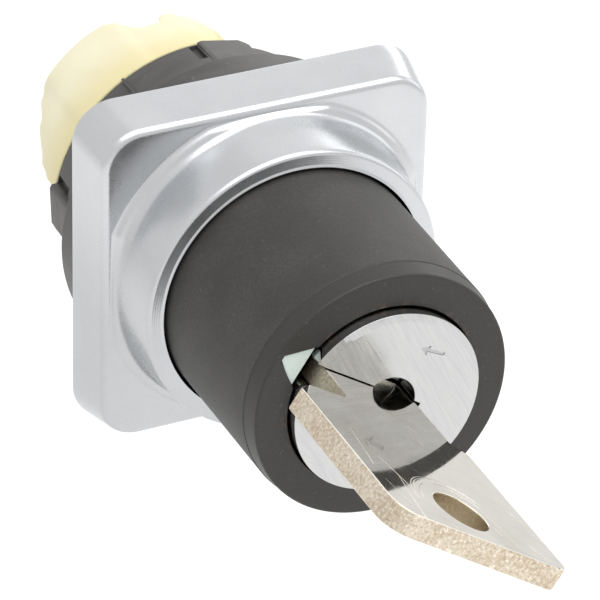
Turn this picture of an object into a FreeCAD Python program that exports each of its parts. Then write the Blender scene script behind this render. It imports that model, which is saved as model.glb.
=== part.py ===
"""Key-operated selector switch for a 22 mm panel hole, as an assembly of separate pieces.

Frame: millimetres, +Z up, +X to the right as seen from the front. The front looks along -Y and
+Y goes back through the panel. The origin is the centre of the panel hole, in the plane of the
panel's front face, where the bezel's back rests. A plane "in front" is at a negative Y.

Angles named phi are measured about the switch's axis, from +X (right) towards +Z (up). The lock
and the key are drawn in a frame of their own, whose +X points at the pointer, and are then turned
about Y by TURNED, which stands them at the left-hand of the three switch positions.
"""
import FreeCAD, Part
import math
import os

import Sketcher
from FreeCAD import Placement, Rotation, Vector

doc = FreeCAD.newDocument("KeySwitch")

# ---------------------------------------------------------------------------------------------
# Driving dimensions
# ---------------------------------------------------------------------------------------------

SIZES = {
    # bezel casting
    "bezel_side": 30.0,
    "bezel_depth": 4.7,
    "bezel_corner": 3.4,
    "bezel_draft": 9.0,
    "bezel_edge_round": 0.7,
    "collar_root_radius": 13.3,
    "collar_rim_radius": 12.8,
    "collar_depth": 10.35,
    "collar_bore": 11.5,
    "web_front": 1.6,
    "web_back": 1.0,
    "web_bore": 7.75,
    "neck_radius": 10.95,
    "neck_length": 13.1,
    "neck_bore": 9.2,
    "plain_neck": 4.6,
    "crest_radius": 10.85,
    "neck_chamfer": 0.6,
    "thread_pitch": 1.5,
    "thread_depth": 0.45,
    "thread_width": 1.1,
    # turning handle
    "barrel_back": 3.3,
    "barrel_root_radius": 11.18,
    "barrel_line": 24.55,
    "barrel_line_radius": 10.96,
    "barrel_face": 26.35,
    "barrel_face_radius": 10.72,
    "head_bore": 8.15,
    "core_bore": 8.1,
    # lock
    "plug_face": 27.45,
    "head_radius": 7.9,
    "head_back": 23.55,
    "head_chamfer": 0.7,
    "plug_radius": 6.1,
    "stator_bore": 6.15,
    "stator_radius": 7.7,
    "stator_front": 21.35,
    "keyhole_radius": 2.3,
    "key_thickness": 1.9,
    "key_top": 0.85,
    "blade_low": -2.2,
    "blade_high": 4.0,
    "wafer_pitch": 2.5,
    "wafer_first": 18.0,
    "wafer_thickness": 0.9,
    "wafer_half_width": 1.85,
    "wafer_lift": 0.8,
    # switching
    "cam_radius": 8.8,
    "cam_front": 3.7,
    "cam_disc_back": 5.4,
    "cam_low": 5.7,
    "push_travel": 2.0,
    "pusher_orbit": 5.8,
    "pusher_radius": 1.7,
    "guide_front": 11.0,
    "guide_thickness": 1.0,
    # behind the panel
    "nut_front": 0.45,
    "flange_radius": 14.8,
    "flange_back": 3.55,
    "nut_radius": 13.3,
    "nut_back": 8.65,
    "nut_bore": 11.05,
    "nut_hollow": 12.7,
    "nut_web_back": 7.15,
    "lug_radius": 13.9,
    "lug_width": 3.4,
    "ring_radius": 13.0,
    "ring_bore": 11.35,
    "spigot_front": 7.35,
    "wing_inside": 11.6,
    "ring_front": 8.95,
    "ring_rim": 17.05,
}

TURNED = -147.0  # turn about Y that carries the lock's own +X to the left-hand position
SWEEP = 120.0  # turn of the key from the left-hand to the right-hand position
STATIONS = (147.0, 87.0, 27.0)  # where the pointer stands in the three positions (phi)
WAFERS = 5
GAP = 0.3  # usual clearance between pieces that move past each other
SECTIONS_A_TURN = 12  # round sections in one turn of a lofted spring

sheet = doc.addObject("Spreadsheet::Sheet", "Sizes")
for row, (name, value) in enumerate(SIZES.items(), start=1):
    sheet.set(f"A{row}", name)
    sheet.set(f"B{row}", str(value))
    sheet.setAlias(f"B{row}", name)
doc.recompute()


class Dim:
    """A size that carries both its number and the sheet expression that drives it."""

    def __init__(self, value, text):
        self.value = float(value)
        self.text = text

    def combine(self, other, sign, value):
        return Dim(value, f"({self.text} {sign} {as_dim(other).text})")

    def __add__(self, other):
        return self.combine(other, "+", self.value + as_dim(other).value)

    def __sub__(self, other):
        return self.combine(other, "-", self.value - as_dim(other).value)

    def __mul__(self, other):
        return self.combine(other, "*", self.value * as_dim(other).value)

    def __truediv__(self, other):
        return self.combine(other, "/", self.value / as_dim(other).value)

    def __neg__(self):
        return Dim(-self.value, f"(0 - {self.text})")

    def __float__(self):
        return self.value


def as_dim(size):
    """A plain number or a Dim, as a Dim."""
    return size if isinstance(size, Dim) else Dim(size, repr(float(size)))


def size(name):
    """The driving dimension of that name, from the sheet."""
    return Dim(sheet.get(name), f"Sizes.{name}")


# ---------------------------------------------------------------------------------------------
# Sketches and features
# ---------------------------------------------------------------------------------------------

IN_LOCK_FRAME = Placement(Vector(0, 0, 0), Rotation(Vector(0, 1, 0), TURNED))
nodes = []


def new_body(label, placement=None):
    """A PartDesign body that will be exported under its label."""
    body = doc.addObject("PartDesign::Body", label)
    body.Label = label
    body.Placement = placement or Placement()
    nodes.append(body)
    return body


def origin_feature(body, role):
    return next(f for f in body.Origin.OriginFeatures if f.Role == role)


def new_sketch(body, plane, offset=0.0):
    """An empty sketch on one of the body's origin planes, moved along the plane's normal.

    On XY_Plane the sketch's axes are X and Y. On XZ_Plane they are X and Z and the normal is -Y,
    so the offset there is the distance in front of the panel.
    """
    sketch = body.newObject("Sketcher::SketchObject", f"{body.Name}_sketch")
    sketch.AttachmentSupport = [(origin_feature(body, plane), "")]
    sketch.MapMode = "FlatFace"
    sketch.AttachmentOffset = Placement(Vector(0, 0, float(offset)), Rotation())
    if isinstance(offset, Dim):
        sketch.setExpression("AttachmentOffset.Base.z", offset.text)
    return sketch


def pin(sketch, kind, geometry, point, target):
    """Hold one coordinate of a point at a size, driven by the sheet if the size is."""
    target = as_dim(target)
    number = sketch.addConstraint(
        Sketcher.Constraint(kind, -1, 1, geometry, point, target.value)
    )
    if "Sizes." in target.text:
        sketch.setExpression(f"Constraints[{number}]", target.text)


def draw_loop(sketch, corners):
    """A closed outline of straight lines through corners, each held at its place."""
    first = sketch.GeometryCount
    spots = [Vector(float(x), float(y), 0) for x, y in corners]
    count = len(spots)
    for i in range(count):
        sketch.addGeometry(Part.LineSegment(spots[i], spots[(i + 1) % count]))
    for i, (x, y) in enumerate(corners):
        following = first + (i + 1) % count
        sketch.addConstraint(Sketcher.Constraint("Coincident", first + i, 2, following, 1))
        pin(sketch, "DistanceX", first + i, 1, x)
        pin(sketch, "DistanceY", first + i, 1, y)


def draw_circle(sketch, x, y, radius):
    """A circle held at its centre and radius."""
    centre = Vector(float(x), float(y), 0)
    circle = sketch.addGeometry(Part.Circle(centre, Vector(0, 0, 1), float(radius)))
    pin(sketch, "DistanceX", circle, 3, x)
    pin(sketch, "DistanceY", circle, 3, y)
    number = sketch.addConstraint(Sketcher.Constraint("Radius", circle, float(radius)))
    if isinstance(radius, Dim):
        sketch.setExpression(f"Constraints[{number}]", radius.text)


def turn_profile(body, kind, *outlines):
    """Revolve outlines of (radius, y) corners about the Y axis: Revolution adds, Groove cuts."""
    sketch = new_sketch(body, "XY_Plane")
    for corners in outlines:
        draw_loop(sketch, corners)
    feature = body.newObject(f"PartDesign::{kind}", f"{body.Name}_{kind.lower()}")
    feature.Profile = sketch
    feature.ReferenceAxis = (sketch, ["V_Axis"])
    feature.Angle = 360
    doc.recompute()
    return feature


def extrude(body, kind, sketch, length):
    """Pad or Pocket a sketch by a length."""
    feature = body.newObject(f"PartDesign::{kind}", f"{body.Name}_{kind.lower()}")
    feature.Profile = sketch
    length = as_dim(length)
    feature.Length = length.value
    if "Sizes." in length.text:
        feature.setExpression("Length", length.text)
    doc.recompute()
    return feature


def dress(body, kind, radius, wanted):
    """Fillet or Chamfer the edges of the tip for which wanted(edge) is true."""
    base = body.Tip
    names = [f"Edge{n}" for n, e in enumerate(base.Shape.Edges, start=1) if wanted(e)]
    feature = body.newObject(f"PartDesign::{kind}", f"{body.Name}_{kind.lower()}")
    feature.Base = (base, names)
    setattr(feature, "Radius" if kind == "Fillet" else "Size", float(radius))
    if isinstance(radius, Dim):
        feature.setExpression("Radius" if kind == "Fillet" else "Size", radius.text)
    doc.recompute()
    return feature


def round_edge_at(y, radius):
    """Picks the full circles of that radius that lie in the plane at y."""

    def wanted(edge):
        circle = edge.Curve
        if not isinstance(circle, Part.Circle):
            return False
        return abs(circle.Center.y - float(y)) < 0.01 and abs(circle.Radius - float(radius)) < 0.01

    return wanted


def rectangle(x0, x1, y0, y1):
    return [(x0, y0), (x1, y0), (x1, y1), (x0, y1)]


def new_feature(label, shape, placement=None):
    """A sub-part whose shape is worked out from the sheet's sizes in this script."""
    feature = doc.addObject("Part::Feature", label)
    feature.Label = label
    feature.Shape = shape
    feature.Placement = (placement or Placement()).multiply(shape.Placement)
    nodes.append(feature)
    return feature


def tube(r0, r1, y0, y1):
    """A plain tube about the Y axis."""
    outer = Part.makeCylinder(float(r1), float(y1) - float(y0), Vector(0, float(y0), 0), Vector(0, 1, 0))
    if float(r0) <= 0:
        return outer
    inner = Part.makeCylinder(float(r0), float(y1) - float(y0), Vector(0, float(y0), 0), Vector(0, 1, 0))
    return outer.cut(inner)


def radial_rectangle(r0, r1, y0, y1, phi):
    """A wire that stands on a radius at phi, from r0 to r1 and from y0 to y1."""
    c, s = math.cos(math.radians(phi)), math.sin(math.radians(phi))
    corners = [Vector(r * c, y, r * s) for r, y in ((r0, y0), (r1, y0), (r1, y1), (r0, y1))]
    return Part.makePolygon(corners + corners[:1])


def sector(r0, r1, y0, y1, phi0, phi1):
    """A piece of a tube about the Y axis, from phi0 to phi1."""
    face = Part.Face(radial_rectangle(float(r0), float(r1), float(y0), float(y1), phi0))
    return face.revolve(Vector(0, 0, 0), Vector(0, -1, 0), phi1 - phi0)


def block(x0, x1, y0, y1, z0, z1):
    return Part.makeBox(x1 - x0, y1 - y0, z1 - z0, Vector(x0, y0, z0))


def coil_spring(y0, y1, mean_radius, wire_radius, turns):
    """A helical compression spring about the Y axis, its wire's ends inside y0 and y1."""
    length = y1 - y0 - 2 * wire_radius
    helix = Part.makeHelix(length / turns, length, mean_radius)
    circle = Part.Circle(Vector(mean_radius, 0, 0), Vector(0, 1, 0), wire_radius)
    wire = Part.Wire([circle.toShape()])
    spring = Part.Wire(helix.Edges).makePipeShell([wire], True, True)
    spring.rotate(Vector(0, 0, 0), Vector(1, 0, 0), -90)
    spring.translate(Vector(0, y0 + wire_radius, 0))
    return spring


def lofted_spring(y0, y1, mean_radius, wire_radius, turns):
    """The same for a close-wound spring: a loft through round sections of its wire."""
    rise = (y1 - y0 - 2 * wire_radius) / (2 * math.pi * turns)
    sections = []
    for k in range(round(turns * SECTIONS_A_TURN) + 1):
        angle = 2 * math.pi * k / SECTIONS_A_TURN
        c, s = math.cos(angle), math.sin(angle)
        centre = Vector(mean_radius * c, y0 + wire_radius + rise * angle, mean_radius * s)
        along = Vector(-mean_radius * s, rise, mean_radius * c)
        sections.append(Part.Wire([Part.Circle(centre, along, wire_radius).toShape()]))
    return Part.makeLoft(sections, True)


# ---------------------------------------------------------------------------------------------
# Housing: what stays with the panel
# ---------------------------------------------------------------------------------------------

THREAD_GROOVES = 5
SINK = 1.0  # how far one lump of the casting reaches into the next
MOUTH_WIDENING, MOUTH_DEPTH = 0.55, 0.35
STATOR_FLANGE_BACK = 2.6
STATOR_CLIP_BACK = 3.3
STATOR_CLIP_RADIUS = 9.85
STATOR_GROOVE_END = 6.0  # how far in front of the panel the sleeve's grooves end
GUIDE_BORE = 9.6
GUIDE_CLIP_FRONT = 12.05
GUIDE_CLIP_THICKNESS = 0.45
GUIDE_CLIP_RADIUS = 10.1
EYE_ORBIT, EYE_RADIUS = 8.3, 0.4
CLIP_ROOM = 0.05  # room for a snap ring at the bottom of its groove
GASKET_INNER, GASKET_OUTER = 12.2, 14.2
GASKET_SEAT, GASKET_PROUD = 0.5, 0.4
SEAL_ORBIT, SEAL_PLACE, SEAL_WIRE = 9.4, -2.42, 0.75
DETENT_POCKET_FRONT, DETENT_POCKET_DEPTH, DETENT_POCKET_HALF = 3.8, 1.6, 3.9
LEAF_INSIDE, LEAF_OUTSIDE = 9.6, 9.9
LEAF_FRONT, LEAF_BACK = 4.0, 5.2
NOSE_ORBIT, NOSE_RADIUS = 9.1, 0.55


def make_bezel():
    """Die-cast bezel: drafted square plate, round collar and the neck through the panel."""
    body = new_body("bezel")
    side = size("bezel_side")
    plate = new_sketch(body, "XZ_Plane")
    draw_loop(plate, rectangle(-side / 2, side / 2, -side / 2, side / 2))
    pad = extrude(body, "Pad", plate, size("bezel_depth"))
    pad.TaperAngle = -float(size("bezel_draft"))
    pad.setExpression("TaperAngle", (-size("bezel_draft")).text)
    doc.recompute()
    dress(body, "Fillet", size("bezel_corner"), lambda e: abs(e.tangentAt(e.FirstParameter).y) > 0.9)
    front = size("bezel_depth")
    edge_round = size("bezel_edge_round")
    dress(body, "Fillet", edge_round, lambda e: abs(e.CenterOfMass.y + float(front)) < 0.01)

    root, rim = size("collar_root_radius"), size("collar_rim_radius")
    turn_profile(
        body,
        "Revolution",
        [
            (0, -front + SINK),
            (root, -front + SINK),
            (root, -front),
            (rim, -size("collar_depth")),
            (0, -size("collar_depth")),
        ],
        [
            (0, -SINK),
            (size("neck_radius"), -SINK),
            (size("neck_radius"), size("plain_neck")),
            (size("crest_radius"), size("plain_neck")),
            (size("crest_radius"), size("neck_length") - size("neck_chamfer")),
            (size("crest_radius") - size("neck_chamfer"), size("neck_length")),
            (0, size("neck_length")),
        ],
    )
    outside = size("crest_radius") + 0.05
    thread_root = size("crest_radius") - size("thread_depth")
    start, width = size("plain_neck") + 0.1, size("thread_width")
    turn_profile(
        body, "Groove", [(outside, start), (outside, start + width), (thread_root, start + width / 2)]
    )
    groove = body.Tip
    thread = body.newObject("PartDesign::LinearPattern", "bezel_thread")
    thread.Originals = [groove]
    thread.Direction = (origin_feature(body, "Y_Axis"), [""])
    thread.Occurrences = THREAD_GROOVES
    run = size("thread_pitch") * (THREAD_GROOVES - 1)
    thread.Length = float(run)
    thread.setExpression("Length", run.text)
    body.Tip = thread
    doc.recompute()

    # the bores, from the collar's mouth to the neck's end, the two clip grooves and the gasket's seat
    mouth = size("collar_bore") + MOUTH_WIDENING
    turn_profile(
        body,
        "Groove",
        [
            (0, -size("collar_depth") - 1),
            (mouth, -size("collar_depth") - 1),
            (mouth, -size("collar_depth")),
            (size("collar_bore"), -size("collar_depth") + MOUTH_DEPTH),
            (size("collar_bore"), -size("web_front")),
            (size("web_bore"), -size("web_front")),
            (size("web_bore"), size("web_back")),
            (size("neck_bore"), size("web_back")),
            (size("neck_bore"), size("guide_front")),
            (GUIDE_BORE, size("guide_front")),
            (GUIDE_BORE, size("neck_length") + 1),
            (0, size("neck_length") + 1),
        ],
    )
    turn_profile(
        body,
        "Groove",
        rectangle(
            size("neck_bore") - 0.5,
            STATOR_CLIP_RADIUS + CLIP_ROOM,
            STATOR_FLANGE_BACK,
            STATOR_CLIP_BACK + 2 * CLIP_ROOM,
        ),
        rectangle(
            GUIDE_BORE - 0.5,
            GUIDE_CLIP_RADIUS + CLIP_ROOM,
            GUIDE_CLIP_FRONT,
            GUIDE_CLIP_FRONT + GUIDE_CLIP_THICKNESS + 2 * CLIP_ROOM,
        ),
        rectangle(GASKET_INNER, GASKET_OUTER, -GASKET_SEAT, GASKET_SEAT),
    )
    # pocket in the neck's wall for the detent spring, at the bottom
    pocket = new_sketch(body, "XZ_Plane", -DETENT_POCKET_FRONT)
    half = DETENT_POCKET_HALF
    draw_loop(pocket, rectangle(-half, half, -LEAF_OUTSIDE - GAP + CLIP_ROOM, -NOSE_ORBIT + 1.1))
    extrude(body, "Pocket", pocket, DETENT_POCKET_DEPTH)


def make_gasket():
    """Flat rubber ring in the bezel's back, pressed against the panel."""
    body = new_body("panel_gasket")
    turn_profile(
        body, "Revolution", rectangle(GASKET_INNER, GASKET_OUTER, -GASKET_SEAT, GASKET_PROUD)
    )


def make_shaft_seal():
    """O-ring between the bezel's web and the back of the turning barrel."""
    body = new_body("shaft_seal")
    sketch = new_sketch(body, "XY_Plane")
    draw_circle(sketch, SEAL_ORBIT, SEAL_PLACE, SEAL_WIRE)
    feature = body.newObject("PartDesign::Revolution", "shaft_seal_revolution")
    feature.Profile = sketch
    feature.ReferenceAxis = (sketch, ["V_Axis"])
    feature.Angle = 360
    doc.recompute()


def make_stator():
    """Fixed lock sleeve: the wafers drop into its three grooves when the key is out."""
    body = new_body("stator_sleeve", IN_LOCK_FRAME)
    front = -size("stator_front")
    turn_profile(
        body,
        "Revolution",
        [
            (size("stator_bore"), front),
            (size("stator_radius") - 0.3, front),
            (size("stator_radius"), front + 0.3),
            (size("stator_radius"), size("web_back")),
            (size("neck_bore") - 0.05, size("web_back")),
            (size("neck_bore") - 0.05, STATOR_FLANGE_BACK),
            (size("stator_bore"), STATOR_FLANGE_BACK),
        ],
    )
    groove = new_sketch(body, "XZ_Plane", size("stator_front"))
    half = size("wafer_half_width") + GAP
    draw_loop(groove, rectangle(size("plug_radius") - 1, size("plug_radius") + 0.95, -half, half))
    cut = extrude(body, "Pocket", groove, size("stator_front") - STATOR_GROOVE_END)
    pattern = body.newObject("PartDesign::PolarPattern", "stator_grooves")
    pattern.Originals = [cut]
    pattern.Axis = (origin_feature(body, "Y_Axis"), [""])
    pattern.Angle = STATIONS[0] - STATIONS[-1]
    pattern.Occurrences = len(STATIONS)
    body.Tip = pattern
    doc.recompute()


def make_stator_clip():
    """Open snap ring that holds the lock sleeve's flange against the bezel's web."""
    ring = sector(7.95, STATOR_CLIP_RADIUS, STATOR_FLANGE_BACK, STATOR_CLIP_BACK, -70, 250)
    new_feature("stator_clip", ring)


def make_detent_spring():
    """Bent leaf spring whose nose clicks into the cam's three notches."""
    leaf = sector(LEAF_INSIDE, LEAF_OUTSIDE, LEAF_FRONT, LEAF_BACK, 250, 290)
    foot = Vector(0, LEAF_FRONT, -NOSE_ORBIT)
    nose = Part.makeCylinder(NOSE_RADIUS, LEAF_BACK - LEAF_FRONT, foot, Vector(0, 1, 0))
    new_feature("detent_spring", leaf.fuse(nose).removeSplitter())


def make_pusher_guide():
    """Plate that closes the neck's end and guides the two pushers."""
    body = new_body("pusher_guide")
    thickness = size("guide_thickness")
    sketch = new_sketch(body, "XZ_Plane", -(size("guide_front") + thickness))
    draw_circle(sketch, 0, 0, as_dim(GUIDE_BORE - 0.05))
    for side in (-1, 1):
        draw_circle(sketch, size("pusher_orbit") * side, 0, size("pusher_radius") + 0.08)
    extrude(body, "Pad", sketch, thickness)
    dress(body, "Chamfer", 0.3, round_edge_at(size("guide_front") + thickness, GUIDE_BORE - 0.05))


def make_guide_clip():
    """Internal circlip behind the pusher guide, with its two plier eyes."""
    front, back = GUIDE_CLIP_FRONT, GUIDE_CLIP_FRONT + GUIDE_CLIP_THICKNESS
    clip = sector(8.9, GUIDE_CLIP_RADIUS, front, back, -72, 252)
    for start in (-72, 240):
        clip = clip.fuse(sector(7.6, 9.0, front, back, start, start + 12))
        phi = math.radians(start + 6)
        middle = Vector(EYE_ORBIT * math.cos(phi), front - 0.1, EYE_ORBIT * math.sin(phi))
        clip = clip.cut(Part.makeCylinder(EYE_RADIUS, 0.8, middle, Vector(0, 1, 0)))
    new_feature("guide_clip", clip.removeSplitter())


# ---------------------------------------------------------------------------------------------
# Rotor: what turns with the key
# ---------------------------------------------------------------------------------------------

PIN_ORBIT, PIN_RADIUS = 7.2, 0.6
FLANGE_BACK = 21.85
PIN_LENGTH = 3.0
POINTER_ROOM = 0.03
RECESS_DEPTH = 0.65
KEYWAY_CLEARANCE = 0.08
KEYWAY_END = 4.0  # how far in front of the panel the keyway ends
SLOT_DEPTH, KEYHOLE_DEPTH, ARROW_DEPTH = 2.6, 3.0, 0.15
CLIP_GROOVE, CLIP_GROOVE_FRONT, CLIP_GROOVE_BACK = 5.6, 2.7, 3.4
SCREW_HOLE_DEPTH = 8.0
TAIL_RADIUS, TAIL_FLAT, TAIL_END = 3.0, 2.3, 6.4
HUB_BACK = 6.5
WASHER_RADIUS, SCREW_HEAD_RADIUS, SCREW_HEAD = 3.0, 2.75, 1.5
SCREW_RADIUS = 1.22
ARM_PLACE = -2.9  # where a wafer's arm stands over its spring, in the lock's own frame
ARROW = (
    (-2.4, -5.3),
    (-0.9, -5.3),
    (-0.9, -5.62),
    (-0.1, -5.15),
    (-0.9, -4.68),
    (-0.9, -5.0),
    (-2.4, -5.0),
)


def make_barrel():
    """Round black turning handle, slightly tapered, with a fine step near its front."""
    body = new_body("barrel", IN_LOCK_FRAME)
    face, line, back = -size("barrel_face"), -size("barrel_line"), -size("barrel_back")
    turn_profile(
        body,
        "Revolution",
        [
            (size("head_bore"), face),
            (size("barrel_face_radius") - 0.12, face),
            (size("barrel_face_radius"), face + 0.15),
            (size("barrel_line_radius") - 0.04, line - 0.05),
            (size("barrel_line_radius"), line),
            (size("barrel_root_radius"), back - 0.3),
            (size("barrel_root_radius") - 0.3, back),
            (size("core_bore"), back),
            (size("core_bore"), as_dim(-FLANGE_BACK)),
            (size("plug_radius") + 0.25, as_dim(-FLANGE_BACK)),
            (size("plug_radius") + 0.25, -size("head_back")),
            (size("head_bore"), -size("head_back")),
        ],
    )
    # recess of the pointer, open to the head's bore
    recess = new_sketch(body, "XZ_Plane", size("barrel_face"))
    draw_loop(recess, [(7.8, -2.05), (10.18, -0.26), (10.18, 0.26), (7.8, 2.05)])
    extrude(body, "Pocket", recess, RECESS_DEPTH)
    # holes of the two drive pins, through the inner flange
    holes = new_sketch(body, "XZ_Plane", size("head_back"))
    for side in (-1, 1):
        draw_circle(holes, 0, PIN_ORBIT * side, PIN_RADIUS + 0.02)
    extrude(body, "Pocket", holes, 2.0)


def make_pointer():
    """Pale triangular inlay that shows which position is chosen."""
    body = new_body("pointer_insert", IN_LOCK_FRAME)
    sketch = new_sketch(body, "XZ_Plane", size("barrel_face") - RECESS_DEPTH + POINTER_ROOM)
    draw_loop(sketch, [(8.3, -1.6), (10.12, -0.22), (10.12, 0.22), (8.3, 1.6)])
    extrude(body, "Pad", sketch, 0.5)


def make_plug():
    """Lock plug: bright round head, keyway, slots of the wafers and a tail that drives the cam."""
    body = new_body("lock_plug", IN_LOCK_FRAME)
    face, head, bevel = size("plug_face"), size("head_radius"), size("head_chamfer")
    shank = size("plug_radius")
    turn_profile(
        body,
        "Revolution",
        [
            (0, -face),
            (head - bevel, -face),
            (head, -face + 0.5),
            (head, -size("head_back")),
            (shank, -size("head_back")),
            (shank, CLIP_GROOVE_FRONT),
            (CLIP_GROOVE, CLIP_GROOVE_FRONT),
            (CLIP_GROOVE, CLIP_GROOVE_BACK),
            (shank, CLIP_GROOVE_BACK),
            (shank, size("cam_front")),
            (TAIL_RADIUS, size("cam_front")),
            (TAIL_RADIUS, TAIL_END),
            (0, TAIL_END),
        ],
    )
    top = -size("key_top") - KEYWAY_CLEARANCE
    bottom = size("key_thickness") - size("key_top") + KEYWAY_CLEARANCE
    low, high = size("blade_low") - 0.55, size("blade_high") + 0.15

    keyway = new_sketch(body, "XZ_Plane", face)
    draw_loop(keyway, rectangle(low, high, top, bottom))
    extrude(body, "Pocket", keyway, face - KEYWAY_END)
    open_slot = new_sketch(body, "XZ_Plane", face)
    draw_loop(open_slot, rectangle(high - 0.5, head + 1, top, bottom))
    extrude(body, "Pocket", open_slot, SLOT_DEPTH)
    keyhole = new_sketch(body, "XZ_Plane", face)
    draw_circle(keyhole, 0, 0, size("keyhole_radius"))
    extrude(body, "Pocket", keyhole, KEYHOLE_DEPTH)
    arrow = new_sketch(body, "XZ_Plane", face)
    draw_loop(arrow, ARROW)
    extrude(body, "Pocket", arrow, ARROW_DEPTH)
    pins = new_sketch(body, "XZ_Plane", size("head_back"))
    for side in (-1, 1):
        draw_circle(pins, 0, PIN_ORBIT * side, PIN_RADIUS + 0.02)
    pin_holes = extrude(body, "Pocket", pins, 1.5)
    pin_holes.Reversed = True
    doc.recompute()

    # slots of the wafers, of their arms, and the holes of their springs
    width = size("wafer_thickness") + 0.2
    start = size("wafer_first") + width / 2
    half = size("wafer_half_width") + 0.1
    slot = new_sketch(body, "XZ_Plane", start)
    draw_loop(slot, rectangle(-5.35, shank + 1, -half, half))
    slot_cut = extrude(body, "Pocket", slot, width)
    arm = new_sketch(body, "XZ_Plane", start)
    draw_loop(arm, rectangle(0.4, 3.1, ARM_PLACE - 0.9, 0.0))
    arm_cut = extrude(body, "Pocket", arm, width)
    hole = new_sketch(body, "YZ_Plane", 0.5)
    draw_circle(hole, -size("wafer_first"), ARM_PLACE, 0.6)
    hole_cut = extrude(body, "Pocket", hole, 3.5)
    pattern = body.newObject("PartDesign::LinearPattern", "lock_plug_slots")
    pattern.Originals = [slot_cut, arm_cut, hole_cut]
    pattern.Direction = (origin_feature(body, "Y_Axis"), [""])
    run = size("wafer_pitch") * (WAFERS - 1)
    pattern.Length = float(run)
    pattern.setExpression("Length", run.text)
    pattern.Occurrences = WAFERS
    body.Tip = pattern
    doc.recompute()

    # flats of the tail, and the hole of the cam's screw
    flats = new_sketch(body, "XZ_Plane", -size("cam_front"))
    reach = TAIL_RADIUS + 1
    draw_loop(flats, rectangle(-reach, reach, -reach, -TAIL_FLAT))
    draw_loop(flats, rectangle(-reach, reach, TAIL_FLAT, reach))
    extrude(body, "Pocket", flats, TAIL_END)
    screw = new_sketch(body, "XZ_Plane", -0.3)
    draw_circle(screw, 0, 0, SCREW_RADIUS + 0.03)
    extrude(body, "Pocket", screw, SCREW_HOLE_DEPTH)


def make_drive_pins():
    """Two dowel pins that make the barrel turn with the plug's head."""
    front = -float(size("head_back")) - 1.4
    pins = [
        Part.makeCylinder(PIN_RADIUS, PIN_LENGTH, Vector(0, front, PIN_ORBIT * side), Vector(0, 1, 0))
        for side in (-1, 1)
    ]
    new_feature("drive_pins", Part.makeCompound(pins), IN_LOCK_FRAME)


def make_plug_clip():
    """E-clip in the plug's groove, behind the lock sleeve."""
    front, back = CLIP_GROOVE_FRONT + CLIP_ROOM, CLIP_GROOVE_BACK - CLIP_ROOM
    new_feature("plug_clip", sector(CLIP_GROOVE + 0.02, 7.2, front, back, 20, 320))


def make_wafer_springs():
    """One small compression spring under each wafer's arm."""
    springs = []
    for k in range(WAFERS):
        spring = coil_spring(-2.95, 0.85, 0.4, 0.1, 7)
        spring.rotate(Vector(0, 0, 0), Vector(0, 0, 1), -90)
        spring.translate(Vector(0, -float(size("wafer_first")) + k * float(size("wafer_pitch")), ARM_PLACE))
        springs.append(spring)
    new_feature("wafer_springs", Part.makeCompound(springs), IN_LOCK_FRAME)


def cam_height(phi):
    """Y of the cam's face at phi: low, a rise of the full travel over SWEEP, high, and back."""
    low, travel = float(size("cam_low")), float(size("push_travel"))
    high_from, high_to = SWEEP, 180.0
    if phi <= high_from:
        return low + travel * phi / SWEEP
    if phi <= high_to:
        return low + travel
    return low + travel * max(0.0, 1 - (phi - high_to) / SWEEP)


def make_cam():
    """Face cam: two helical ramps that push one pusher back while they let the other return."""
    inner, outer = 4.3, 8.3
    front, disc_back = float(size("cam_front")), float(size("cam_disc_back"))
    base = disc_back - 0.1
    cam = tube(0, size("cam_radius"), front, disc_back).fuse(tube(0, 3.9, base, HUB_BACK))
    step = 10
    for start in (0, 180):
        wires = [
            radial_rectangle(inner, outer, base, cam_height(phi), phi)
            for phi in range(start, start + int(SWEEP) + step, step)
        ]
        cam = cam.fuse(Part.makeLoft(wires, True, True))
    for start in (0, 180):
        flat = cam_height(start + SWEEP)
        cam = cam.fuse(sector(inner, outer, base, flat, start + SWEEP, start + 180))
    tail = tube(0, TAIL_RADIUS + 0.03, front - 1, HUB_BACK + 1)
    reach = TAIL_FLAT + 0.03
    bore = tail.common(block(-4, 4, front - 1, HUB_BACK + 1, -reach, reach))
    bore.rotate(Vector(0, 0, 0), Vector(0, 1, 0), TURNED)
    cam = cam.cut(bore)
    # three notches for the detent spring, each at the bottom in one of the positions
    for station in STATIONS:
        phi = math.radians(270 + STATIONS[0] - station)
        middle = Vector(9.15 * math.cos(phi), front - 0.5, 9.15 * math.sin(phi))
        cam = cam.cut(Part.makeCylinder(0.8, 3.5, middle, Vector(0, 1, 0)))
    new_feature("cam", cam.removeSplitter())


def make_cam_fasteners():
    """Washer and cross-slotted screw that hold the cam on the plug's tail."""
    washer_back = HUB_BACK + 0.4
    new_feature("cam_washer", tube(1.6, WASHER_RADIUS, HUB_BACK, washer_back))
    head_back = washer_back + SCREW_HEAD
    head = tube(0, SCREW_HEAD_RADIUS, washer_back, head_back)
    for length, width in ((3.2, 0.6), (0.6, 3.2)):
        cross = block(-length / 2, length / 2, head_back - 0.8, head_back + 1, -width / 2, width / 2)
        head = head.cut(cross)
    shank = tube(0, SCREW_RADIUS, 0.6, washer_back + 0.1)
    new_feature("cam_screw", head.fuse(shank).removeSplitter())


# ---------------------------------------------------------------------------------------------
# Key and wafers
# ---------------------------------------------------------------------------------------------

KEY_CUTS = (0.35, 0.7, 0.5, 0.85, 0.45)  # depths of the blade's cuts, front to back
TIP, TIP_SLOPE = -4.6, -6.0
STOP_BACK, STOP_WIDTH, STOP_ROOT = -25.2, 5.7, (7.2, -31.9)  # shoulder that rests in the lock's slot
NECK_SIDE, BOW_SHOULDER = (11.4, -32.0), (12.85, -33.3)
BOW_FAR_CORNER, BOW_NEAR_CORNER = (12.9, -50.1), (-3.5, -51.0)
HEEL_FROM, HEEL = -33.6, (-3.5, -34.6)
RING_HOLE, RING_HOLE_RADIUS = (4.8, -46.6), 2.35


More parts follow.
